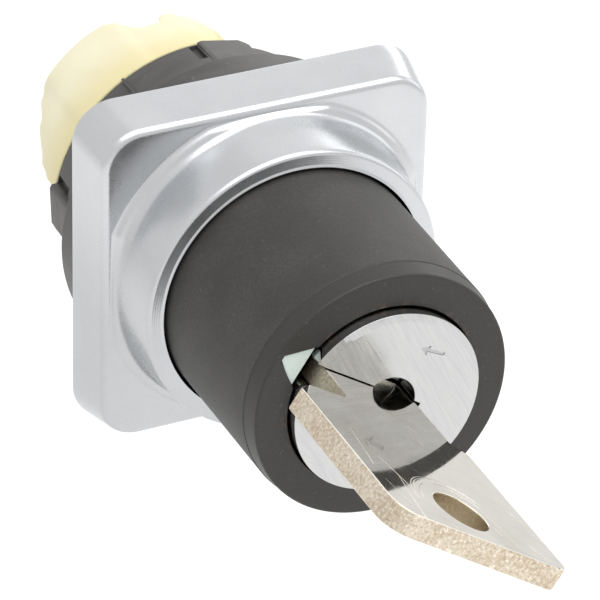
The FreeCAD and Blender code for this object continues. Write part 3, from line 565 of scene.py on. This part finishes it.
def steel(name, light, dark, low, high, drawn):
    """Bright metal with marks drawn along one way, and cloudy patches of tone."""
    f = Finish(name, light, low, 1.0)
    lines = f.noise(1500, 3, 0.6, f.mapped(drawn))
    clouds = f.fit(f.noise(380, 4, 0.6), 0.35, 0.7)
    f.color(f.mix(clouds, light, dark))
    f.roughness(f.fit(lines, 0.3, 0.7, low, high))
    f.bump(lines, 0.003)
    return f.material


def seal_rubber():
    """Black rubber with a dull bloom and moulding grain."""
    f = Finish("seal_rubber", (0.02, 0.02, 0.02), 0.75)
    bloom = f.fit(f.noise(700, 5, 0.65), 0.5, 0.75)
    f.color(f.mix(f.product(bloom, 0.5), (0.018, 0.018, 0.018), (0.09, 0.088, 0.085)))
    f.roughness(f.fit(bloom, 0, 1, 0.65, 0.85))
    f.bump(f.noise(2400, 3), 0.01)
    return f.material


def moulding(name, light, dark, roughness):
    """Technical plastic with a fine erosion texture, flow clouds and specks."""
    f = Finish(name, light, roughness)
    clouds = f.fit(f.noise(260, 4), 0.3, 0.7)
    specks = f.fit(f.noise(3300, 2), 0.7, 0.78)
    base = f.mix(clouds, light, dark)
    f.color(f.mix(f.product(specks, 0.35), base, tuple(c * 0.6 for c in dark)))
    f.roughness(f.fit(clouds, 0, 1, roughness - 0.05, roughness + 0.08))
    f.bump(f.noise(3600, 2), 0.008)
    return f.material


SPRING_STEEL = steel("spring_steel", (0.6, 0.6, 0.61), (0.42, 0.42, 0.44), 0.22, 0.36, (1, 14, 1))
ZINC_STEEL = steel("zinc_steel", (0.72, 0.71, 0.66), (0.56, 0.56, 0.54), 0.28, 0.42, (8, 1, 8))
GUIDE_PLASTIC = moulding("guide_plastic", (0.085, 0.085, 0.088), (0.06, 0.06, 0.062), 0.5)
CAM_PLASTIC = moulding("cam_plastic", (0.84, 0.83, 0.78), (0.78, 0.77, 0.71), 0.36)
SATIN_CASTING = satin_casting()
BLACK_PLASTIC = black_plastic()
NUT_PLASTIC = nut_plastic()
CREAM_PLASTIC = cream_plastic()
POINTER_PLASTIC = pointer_plastic()
NICKEL = nickel()
KEY_FACE_METAL = key_face()
KEY_EDGE_METAL = key_edge()
BRASS = brass()
SEAL_RUBBER = seal_rubber()


# ---------------------------------------------------------------------------------------------
# Bezel casting
# ---------------------------------------------------------------------------------------------

bezel_low, bezel_high = extent("bezel")
HALF_SIDE = bezel_high.x
NECK_END = bezel_high.y
COLLAR_RIM = bezel_low.y
PLATE_FRONT = -4.7
PLATE_CORNER = 3.4
DRAFT = math.tan(math.radians(9.0))
EDGE_FILLET = 0.7
ROOT_RADIUS, RIM_RADIUS = 13.3, 12.8
COLLAR_FOOT = (
    (1.3, 0.0), (1.15, 0.02), (1.02, 0.07), (0.9, 0.15), (0.8, 0.24), (0.69, 0.32), (0.57, 0.38),
    (0.44, 0.43), (0.32, 0.5), (0.22, 0.6), (0.13, 0.74), (0.06, 0.93), (0.01, 1.2),
)  # how far outside the wall, and how far in front of the plate
COLLAR_BORE, RIM_EDGE, RIM_LIP = 11.36, 0.42, 0.1
WEB_BORE, NECK_BORE, GUIDE_BORE = 7.75, 9.2, 9.6
WEB_FRONT, WEB_BACK, GUIDE_SEAT = -1.6, 1.0, 11.0
GASKET_GROOVE = (12.2, 14.2, -0.5)  # inner and outer radius, and how deep
NECK_RADIUS, CREST_RADIUS = 10.95, 10.85
THREAD_FROM, THREAD_TO, THREAD_PITCH, THREAD_DEPTH = 4.7, 11.7, 1.5, 0.62
THREAD_STEPS = 70  # points along the thread


def square_radius(phi, half, corner):
    """Distance from the centre to the outline of a square with round corners."""
    c, s = abs(math.cos(phi)), abs(math.sin(phi))
    if s > c:
        c, s = s, c
    flat = half - corner
    if half * s / c <= flat:
        return half / c
    along = (c + s) * flat
    return along + math.sqrt(max(0.0, along * along - 2 * flat * flat + corner * corner))


def thread_radius(y, phi):
    """Radius of a rounded V thread, which fades in and out at its ends."""
    wave = (y / THREAD_PITCH - phi / (2 * math.pi)) % 1.0
    tooth = min(1.0, max(0.0, abs(wave - 0.5) * 2.6 - 0.15))
    fade = min(1.0, (y - THREAD_FROM) / 1.2, (THREAD_TO - y) / 0.8)
    return CREST_RADIUS - THREAD_DEPTH * (1 - tooth) * max(0.0, fade)


def bezel_section(phi):
    """Outline of the casting at phi: neck, back, drafted side, front, collar and bores."""
    points = [(NECK_BORE, WEB_BACK), (NECK_BORE, GUIDE_SEAT), (GUIDE_BORE, GUIDE_SEAT)]
    points += [(GUIDE_BORE, NECK_END - 0.1), (GUIDE_BORE + 0.08, NECK_END)]
    points += [(9.9, NECK_END), (CREST_RADIUS - 0.1, THREAD_TO)]
    for k in range(THREAD_STEPS + 1):
        y = THREAD_TO + (THREAD_FROM - THREAD_TO) * k / THREAD_STEPS
        points.append((thread_radius(y, phi), y))
    points += [(NECK_RADIUS, 4.55), (NECK_RADIUS, 0.2), (11.15, 0.0)]
    inner, outer, floor = GASKET_GROOVE
    points += [(inner, 0.0), (inner, floor), (outer, floor), (outer, 0.0)]

    back = square_radius(phi, HALF_SIDE, PLATE_CORNER)
    points += [(back - 0.15, 0.0), (back - 0.04, -0.04)]
    side_end = PLATE_FRONT + EDGE_FILLET * (1 - DRAFT)
    for share in (0.06, 0.3, 0.6, 1.0):
        y = side_end * share
        points.append((square_radius(phi, HALF_SIDE + y * DRAFT, PLATE_CORNER), y))
    inset = -side_end * DRAFT
    for c, s in quarter(8)[1:]:
        inward = EDGE_FILLET * (1 - c)
        outline = square_radius(phi, HALF_SIDE - inset - inward, PLATE_CORNER - inward)
        points.append((outline, side_end + (PLATE_FRONT - side_end) * s))

    flat_edge = points[-1][0]
    spread = min(1.0, 0.92 * (flat_edge - ROOT_RADIUS) / COLLAR_FOOT[0][0])
    foot = ROOT_RADIUS + COLLAR_FOOT[0][0] * spread
    for share in (0.25, 0.5, 0.75, 1.0):
        points.append((flat_edge + (foot - flat_edge) * share, PLATE_FRONT))
    for outward, rise in COLLAR_FOOT[1:]:
        lean = (ROOT_RADIUS - RIM_RADIUS) * rise / (PLATE_FRONT - COLLAR_RIM)
        points.append((ROOT_RADIUS + outward * spread - lean, PLATE_FRONT - rise))
    start_r, start_y = points[-1]
    rim_flat = COLLAR_RIM + RIM_LIP
    end_r, end_y = RIM_RADIUS, rim_flat + RIM_EDGE
    for k in range(1, 7):
        share = k / 6
        points.append((start_r + (end_r - start_r) * share, start_y + (end_y - start_y) * share))
    for c, s in quarter(4)[1:]:
        points.append((RIM_RADIUS - RIM_EDGE * (1 - c), rim_flat + RIM_EDGE * (1 - s)))
    points += [(COLLAR_BORE + 0.26, rim_flat), (COLLAR_BORE + 0.23, rim_flat - 0.01)]
    points += [(COLLAR_BORE + 0.09, COLLAR_RIM + 0.005), (COLLAR_BORE + 0.06, COLLAR_RIM)]
    points += [(COLLAR_BORE + 0.03, COLLAR_RIM), (COLLAR_BORE, COLLAR_RIM + 0.04)]
    points += [(COLLAR_BORE, WEB_FRONT - 0.4), (COLLAR_BORE - 0.4, WEB_FRONT)]
    points += [(WEB_BORE, WEB_FRONT), (WEB_BORE, WEB_BACK)]
    return points


def make_bezel():
    """Die casting: square plate with a collar in front and a threaded neck behind."""
    piece = loft("bezel_casting", bezel_section)
    smooth(piece, 33)
    weigh_normals(piece)
    apply_all(piece)
    place(piece, "housing", "satin_casting", SATIN_CASTING, "bezel")


# ---------------------------------------------------------------------------------------------
# Barrel and lock
# ---------------------------------------------------------------------------------------------

barrel_low, barrel_high = extent("barrel")
BARREL_FACE, BARREL_BACK = barrel_low.y, barrel_high.y
LINE_Y = -24.55  # the parting line round the barrel
HEAD_BACK, FLANGE_BACK = -23.55, -21.85
HEAD_BORE, PLUG_BORE, CORE_BORE = 8.0, 6.35, 8.1
SIDES = (-1, 1)
PIN_ORBIT, PIN_HOLE_RADIUS = 7.2, 0.62
plug_low, plug_high = extent("lock_plug")
PLUG_FACE, PLUG_END = plug_low.y, plug_high.y
HEAD_RADIUS, PLUG_RADIUS, GROOVE_RADIUS, TAIL_RADIUS = 7.86, 6.1, 5.6, 3.0
GROOVE_FRONT, GROOVE_BACK, PLUG_BACK = 2.7, 3.4, 3.7
WAFER_PLACES = [-18.0 + 2.5 * k for k in range(5)]


def pin_hole(side, near, far):
    """Cutter for the hole of one drive pin."""
    return prism("pin_hole", disc(PIN_HOLE_RADIUS, 0, PIN_ORBIT * side, 24), near, far)


def make_barrel():
    """Turning handle: tapered, with a fine step near the front and the pointer's recess."""
    piece = lathe(
        "barrel_shell",
        [
            (HEAD_BORE, BARREL_FACE, 0.1),
            (10.72, BARREL_FACE, 0.2),
            (10.9, LINE_Y - 0.06, 0.03),
            (10.96, LINE_Y, 0.03),
            (11.18, BARREL_BACK - 0.3, 0.2),
            (10.88, BARREL_BACK, 0.1),
            (CORE_BORE, BARREL_BACK),
            (CORE_BORE, FLANGE_BACK),
            (PLUG_BORE, FLANGE_BACK),
            (PLUG_BORE, HEAD_BACK),
            (HEAD_BORE, HEAD_BACK),
        ],
        240,
    )
    recess = [(7.6, -2.1), (10.18, -0.26), (10.18, 0.26), (7.6, 2.1)]
    cutters = [prism("recess", recess, BARREL_FACE - 1, BARREL_FACE + 0.65)]
    cutters += [pin_hole(side, HEAD_BACK - 0.4, FLANGE_BACK + 0.9) for side in SIDES]
    cut(piece, cutters)
    soften(piece, 0.05)
    turn(piece)
    place(piece, "rotor", "black_plastic", BLACK_PLASTIC, "barrel")


def make_pointer():
    """Inlay with an uneven, rounded rim."""
    outline = [(7.99, -1.74), (9.2, -0.98), (9.66, -0.62), (10.12, -0.2), (10.14, 0.16)]
    outline += [(9.7, 0.54), (9.3, 0.9), (8.85, 1.24), (7.99, 1.8)]
    low, high = extent("pointer_insert")
    piece = prism("pointer_inlay", outline, low.y + 0.02, high.y)
    soften(piece, 0.08, 3)
    turn(piece)
    place(piece, "rotor", "pointer_plastic", POINTER_PLASTIC, "pointer_insert")


def make_plug():
    """Lock plug: chamfered bright head, keyway, keyhole, engraved arrow, slots and tail."""
    piece = lathe(
        "lock_plug_turned",
        [
            (0, PLUG_FACE),
            (7.2, PLUG_FACE, 0.08),
            (HEAD_RADIUS, PLUG_FACE + 0.11, 0.04),
            (HEAD_RADIUS, HEAD_BACK, 0.1),
            (PLUG_RADIUS, HEAD_BACK),
            (PLUG_RADIUS, GROOVE_FRONT),
            (GROOVE_RADIUS, GROOVE_FRONT),
            (GROOVE_RADIUS, GROOVE_BACK),
            (PLUG_RADIUS, GROOVE_BACK),
            (PLUG_RADIUS, PLUG_BACK),
            (TAIL_RADIUS, PLUG_BACK),
            (TAIL_RADIUS, PLUG_END),
            (0, PLUG_END),
        ],
        240,
    )
    top, bottom = -0.93, 1.13
    front = PLUG_FACE - 1
    arrow = [(-2.1, -5.46), (-0.55, -5.3), (-0.6, -5.6), (0.2, -5.1)]
    arrow += [(-0.6, -4.72), (-0.55, -5.02), (-2.1, -5.2)]
    cutters = [
        box("keyway", -2.75, 4.15, front, -4.0, top, bottom),
        box("open_slot", 3.65, 8.9, front, PLUG_FACE + 2.6, top, bottom),
        prism("keyhole", disc(2.3), front, PLUG_FACE + 3.0),
        prism("arrow", arrow, front, PLUG_FACE + 0.07),
    ]
    for side in SIDES:
        cutters.append(pin_hole(side, HEAD_BACK - 1.5, HEAD_BACK + 1))
        flat = sorted((2.3 * side, 4.0 * side))
        cutters.append(box("tail_flat", -4, 4, PLUG_BACK, 8.0, *flat))
    for y in WAFER_PLACES:
        cutters.append(box("wafer_slot", -5.35, 7.1, y - 0.55, y + 0.55, -1.95, 1.95))
        cutters.append(box("arm_slot", 0.4, 3.1, y - 0.55, y + 0.55, -3.8, 0.0))
    cut(piece, cutters)
    soften(piece, 0.05)
    turn(piece)
    place(piece, "rotor", "nickel", NICKEL, "lock_plug")


# ---------------------------------------------------------------------------------------------
# Key
# ---------------------------------------------------------------------------------------------

KEY_UNDER, KEY_UPPER = 1.05, -0.85  # z of the faces in the lock's own frame
BLADE_LOW, BLADE_HIGH = -2.2, 4.0
KEY_CUTS = (0.35, 0.7, 0.5, 0.85, 0.45)
KEY_HOLE_RADIUS = 2.35


def make_key():
    """Stamped key: one rounded rim on its upper face, grainy sheared edges, and its cuts."""
    outline = [
        (BLADE_LOW + 1.0, -4.6),
        (BLADE_HIGH - 1.2, -4.6),
        (BLADE_HIGH, -6.0),
        (BLADE_HIGH, -25.2),
        (7.05, -25.2),
        (7.05, -28.6, 1.5),
        (7.4, -31.9, 0.6),
        (11.4, -32.0, 0.6),
        (12.85, -33.3, 0.6),
        (12.9, -50.1, 2.2),
        (-3.5, -51.0, 1.0),
        (-3.5, -34.6, 0.5),
        (BLADE_LOW, -33.6, 0.4),
    ]
    for place_y, depth in zip(WAFER_PLACES, KEY_CUTS):
        outline += [(BLADE_LOW, place_y - 0.7), (BLADE_LOW + depth, place_y - 0.25)]
        outline += [(BLADE_LOW + depth, place_y + 0.25), (BLADE_LOW, place_y + 0.7)]
    outline.append((BLADE_LOW, -6.0))
    flat = [(p.x, p.y) for p in rounded(outline, 12)]
    # the prism is drawn standing along y, then laid down so that its y becomes the lock's z
    lay_down = Matrix(((1, 0, 0, 0), (0, 0, 1, 0), (0, 1, 0, 0), (0, 0, 0, 1)))
    piece = prism("key_stamping", flat, KEY_UPPER, KEY_UNDER)
    hole = disc(KEY_HOLE_RADIUS, KEY_HOLE[0], KEY_HOLE[1], 72)
    cut(piece, [prism("ring_hole", hole, KEY_UPPER - 1, KEY_UNDER + 1)])
    soften(piece, 0.13, 4, 55)
    turn(piece, lay_down)
    piece.data.flip_normals()
    turn(piece)
    place(piece, "key", "key_nickel", KEY_FACE_METAL, "key")
    piece.data.materials.append(KEY_EDGE_METAL)
    facing = math.radians(LOCK_ANGLE - 90)
    upper = Vector((math.cos(facing), 0.0, math.sin(facing)))
    for polygon in piece.data.polygons:
        polygon.material_index = 0 if abs(polygon.normal.dot(upper)) > 0.8 else 1


# ---------------------------------------------------------------------------------------------
# Mounting nut and lock ring
# ---------------------------------------------------------------------------------------------

NUT_FRONT, NUT_BACK = extent("mounting_nut")[0].y, 8.65
FLANGE_RADIUS, STEP_Y, NUT_RADIUS = 14.6, 3.55, 13.1
LUGS = (85.0, 175.0, 265.0, 355.0)
LUG_FOOT = 12.42
LOW_SECTOR, BODY_DROP = (92, 178), 0.5  # degrees past a lug, and how much lower the body is


def along(phi, outline):
    """An (x, z) outline drawn about the direction +X, turned to phi."""
    c, s = math.cos(math.radians(phi)), math.sin(math.radians(phi))
    return [(x * c - z * s, x * s + z * c) for x, z in outline]


NUT_OUTLINE = rounded([
    (12.1, NUT_FRONT),
    (FLANGE_RADIUS, NUT_FRONT, 0.25),
    (FLANGE_RADIUS, STEP_Y - 0.25, 0.2),
    (NUT_RADIUS + 0.25, STEP_Y + 0.35, 0.2),
    (NUT_RADIUS, NUT_BACK, 0.1),
    (12.35, NUT_BACK),
    (12.35, 7.15),
    (11.05, 7.15),
    (11.05, 4.7),
    (12.1, 4.7),
])


def nut_section(phi):
    """Outline of the nut at phi: its body is lower in two sectors between lugs."""
    turned = (math.degrees(phi) - LUGS[0]) % 180
    start, end = LOW_SECTOR
    drop = BODY_DROP * max(0.0, min(1.0, (turned - start) / 4, (end - turned) / 4))
    outline = []
    for r, y in NUT_OUTLINE:
        if r > 12.9 and y > STEP_Y:
            r -= drop * min(1.0, (y - STEP_Y) / 0.35)
        outline.append((r, y))
    return outline


def make_nut():
    """Nut: hollow flange, stepped body, four spanner lugs with slots and two lowered rims."""
    piece = loft("mounting_nut_moulding", nut_section, 360)
    lug = [(LUG_FOOT, -3.2), (12.66, -2.8), (12.98, -2.1), (13.3, 1.2), (13.2, 1.52)]
    lug.append((LUG_FOOT, 1.68))
    other_lug = [(x + 0.35 * (x - LUG_FOOT), -z) for x, z in reversed(lug)]
    added = []
    for k, phi in enumerate(LUGS):
        outline = along(phi, lug if k % 2 == 0 else other_lug)
        added.append(prism("lug", outline, STEP_Y - 0.3, NUT_BACK - 0.05))
    rib = [(12.8, -0.12), (13.5, -0.12), (13.5, 0.12), (12.8, 0.12)]
    added += [prism("rib", along(phi, rib), STEP_Y - 0.2, NUT_BACK - 0.3) for phi in (122, 302)]
    cut(piece, added, "UNION")
    slot = [(12.75, -0.38), (15.0, -0.38), (15.0, 0.38), (12.75, 0.38)]
    cutters = [
        prism("slot", along(phi + (8.9 if k % 2 == 0 else -8.9), slot), 6.05, NUT_BACK - 0.22)
        for k, phi in enumerate(LUGS)
    ]
    cut(piece, cutters)
    soften(piece, 0.1, 3)
    place(piece, "mounting_nut", "nut_plastic", NUT_PLASTIC, "mounting_nut")


RING_FRONT, RING_RADIUS = 8.95, 13.0
RING_FLOOR = RING_FRONT + 1.0
WALL_INSIDE, FLOOR_RADIUS = 11.6, 12.1  # radius within the wall, and of the bare floor
RIM_FILLET_OUT, RIM_FILLET_IN = 0.35, 0.3
WING_MIDDLE = 128.0
# the wing's rim: degrees from a wing's middle, and how far back of the floor its rim stands there
WING_RIM = (
    (-48.5, 0.0), (-47.5, 1.7), (-46, 3.0), (-42, 4.3), (-37, 5.2), (-34, 5.2),
    (-31, 4.3), (-26, 4.3), (-22.5, 4.7), (-20, 5.7), (-17, 6.6), (-13, 7.0), (-5, 7.1),
    (17, 7.1), (22, 6.4), (29, 5.0), (41, 2.9), (43.5, 1.7), (45, 0.0),
)


def from_wing(degrees):
    """Degrees from the middle of the nearer wing."""
    return (degrees - WING_MIDDLE + 90) % 180 - 90


def rim_at(turned):
    """Y of the ring's rim at degrees from a wing's middle: smooth between its points."""
    for (a, low), (b, high) in zip(WING_RIM, WING_RIM[1:]):
        if a <= turned <= b:
            share = (turned - a) / (b - a)
            share = share * share * (3 - 2 * share)
            return RING_FLOOR + low + (high - low) * share
    return RING_FLOOR


def ring_section(phi):
    """Outline of the lock ring at phi: spigot, floor, and the wall with its rounded rim."""
    turned = from_wing(math.degrees(phi))
    rim = rim_at(turned)
    raised = min(1.0, max(0.0, (rim - RING_FLOOR) / 2.0))
    panel = 1 / (1 + math.exp((abs(turned + 1) - 17.5) * 0.9))
    outer = RING_RADIUS - 0.22 * raised * (1 - panel)
    winged = min(1.0, max(0.0, (rim - RING_FLOOR) / 0.8))
    flange = FLOOR_RADIUS + (RING_RADIUS - FLOOR_RADIUS) * winged
    outer = min(outer, flange)
    points = [(11.35, 7.45), (11.45, 7.35), (12.1, 7.35), (12.2, 7.45), (12.2, RING_FRONT)]
    points += [(flange - 0.1, RING_FRONT), (flange, RING_FRONT + 0.1), (flange, RING_FRONT + 0.2)]
    rim -= 0.45 * (1 - winged)
    rise = rim - RIM_FILLET_OUT - (RING_FRONT + 0.2)
    for k in range(7):
        points.append((outer, RING_FRONT + 0.2 + rise * k / 6))
    for c, s in quarter(4)[1:]:
        points.append((outer - RIM_FILLET_OUT * (1 - c), rim - RIM_FILLET_OUT * (1 - s)))
    for c, s in reversed(quarter(4)):
        points.append((WALL_INSIDE + RIM_FILLET_IN * (1 - c), rim - RIM_FILLET_IN * (1 - s)))
    points += [(WALL_INSIDE, RING_FLOOR - 0.76), (11.35, RING_FLOOR - 0.85)]
    return points


def make_lock_ring():
    """Cream ring with two wings, their middles a little prouder than their flanks."""
    piece = loft("lock_ring_moulding", ring_section, 720)
    smooth(piece, 50)
    place(piece, "lock_ring", "cream_plastic", CREAM_PLASTIC, "lock_ring")


# ---------------------------------------------------------------------------------------------
# CAD nodes that stay
# ---------------------------------------------------------------------------------------------

KEPT = {
    "panel_gasket": SEAL_RUBBER,
    "shaft_seal": SEAL_RUBBER,
    "stator_sleeve": NICKEL,
    "stator_clip": SPRING_STEEL,
    "detent_spring": SPRING_STEEL,
    "pusher_guide": GUIDE_PLASTIC,
    "guide_clip": SPRING_STEEL,
    "return_spring_left": SPRING_STEEL,
    "return_spring_right": SPRING_STEEL,
    "drive_pins": ZINC_STEEL,
    "plug_clip": SPRING_STEEL,
    "wafer_springs": SPRING_STEEL,
    "cam": CAM_PLASTIC,
    "cam_washer": ZINC_STEEL,
    "cam_screw": ZINC_STEEL,
    "wafers": BRASS,
    "pusher_left": CAM_PLASTIC,
    "pusher_right": CAM_PLASTIC,
}
SMALL_EDGES = {"pusher_guide": 0.12, "guide_clip": 0.06, "cam": 0.1, "stator_clip": 0.06}
SMALL_EDGES |= {"pusher_left": 0.08, "pusher_right": 0.08, "cam_screw": 0.06, "plug_clip": 0.06}


def dress_kept_nodes():
    """Better materials for the CAD nodes that stay, and small rounded edges on some."""
    for name, material in KEPT.items():
        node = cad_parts[name]
        for material_slot in node.material_slots:
            material_slot.material = material
        if name in SMALL_EDGES:
            weld = node.modifiers.new("weld", "WELD")
            weld.merge_threshold = 1e-6
            flat = node.modifiers.new("flat", "DECIMATE")
            flat.decimate_type = "DISSOLVE"
            flat.angle_limit = math.radians(COPLANAR)
            bevel_edges(node, SMALL_EDGES[name], 2, 40)


# ---------------------------------------------------------------------------------------------
# Studio
# ---------------------------------------------------------------------------------------------

FLOOR_BELOW = 170.0  # from the object's lowest point to the floor
STUDIO_RADIUS = 3000.0
WORLD_STRENGTH = 0.85
CAMERA_AZIMUTH, CAMERA_ELEVATION, CAMERA_ROLL = -25.85, 32.4, 1.8
CAMERA_AIM = Vector((2.9, -5.37, -4.28))
CAMERA_DISTANCE, CAMERA_LENS = 335.2, 246.0


def make_floor():
    """Plain pale floor, as one large rounded sheet."""
    height = cad_low.z / MM - FLOOR_BELOW
    piece = prism("studio_floor", disc(STUDIO_RADIUS, count=96), 0.0, 5.0)
    piece.data.transform(Matrix.Rotation(math.radians(-90), 4, "X"))
    piece.location.z = height * MM
    f = Finish("floor_paint", (0.9, 0.9, 0.9), 0.8)
    f.color(f.mix(f.fit(f.noise(3, 3), 0.3, 0.7), (0.89, 0.89, 0.89), (0.91, 0.91, 0.905)))
    piece.data.materials.append(f.material)


def stand(name, data, azimuth, elevation, distance, aim=(0, 0, 0), roll=0.0):
    """Stands a lamp or camera that way from the point aim, in metres, and turns it there."""
    holder = bpy.data.objects.new(name, data)
    a, e = math.radians(azimuth), math.radians(elevation)
    back = Vector((math.sin(a) * math.cos(e), -math.cos(a) * math.cos(e), math.sin(e)))
    holder.location = Vector(aim) + back * distance
    holder.rotation_mode = "QUATERNION"
    rolled = Quaternion((0, 0, 1), math.radians(roll))
    holder.rotation_quaternion = (-back).to_track_quat("-Z", "Y") @ rolled
    bpy.context.scene.collection.objects.link(holder)
    return holder


def softbox(name, azimuth, elevation, distance, width, height, power):
    """A soft area light that looks at the object from that direction."""
    light = bpy.data.lights.new(name, "AREA")
    light.shape = "RECTANGLE"
    light.size, light.size_y = width, height
    light.energy = power
    stand(name, light, azimuth, elevation, distance)


def make_studio():
    """Even white surroundings and four soft lights."""
    world = bpy.data.worlds.new("studio")
    world.use_nodes = True
    background = world.node_tree.nodes["Background"]
    background.inputs["Color"].default_value = (1, 1, 1, 1)
    background.inputs["Strength"].default_value = WORLD_STRENGTH
    bpy.context.scene.world = world
    bpy.context.scene.view_settings.view_transform = "Standard"
    softbox("overhead", 20, 70, 0.9, 1.05, 1.0, 6.4)
    softbox("right", 85, 15, 0.8, 0.5, 0.5, 0.5)
    softbox("behind", 146, 45, 0.8, 0.6, 0.5, 0.12)
    softbox("far_side", 139, 17, 0.8, 0.6, 0.25, 0.7)


def make_camera():
    """Camera in front, to the left and above."""
    camera = bpy.data.cameras.new("camera")
    camera.sensor_width = 36.0
    camera.lens = CAMERA_LENS
    camera.clip_start, camera.clip_end = 0.01, 20.0
    aim, distance = CAMERA_AIM * MM, CAMERA_DISTANCE * MM
    bpy.context.scene.camera = stand(
        "camera", camera, CAMERA_AZIMUTH, CAMERA_ELEVATION, distance, aim, CAMERA_ROLL
    )


make_bezel()
make_barrel()
make_pointer()
make_plug()
make_key()
make_nut()
make_lock_ring()
dress_kept_nodes()
make_floor()
make_studio()
make_camera()
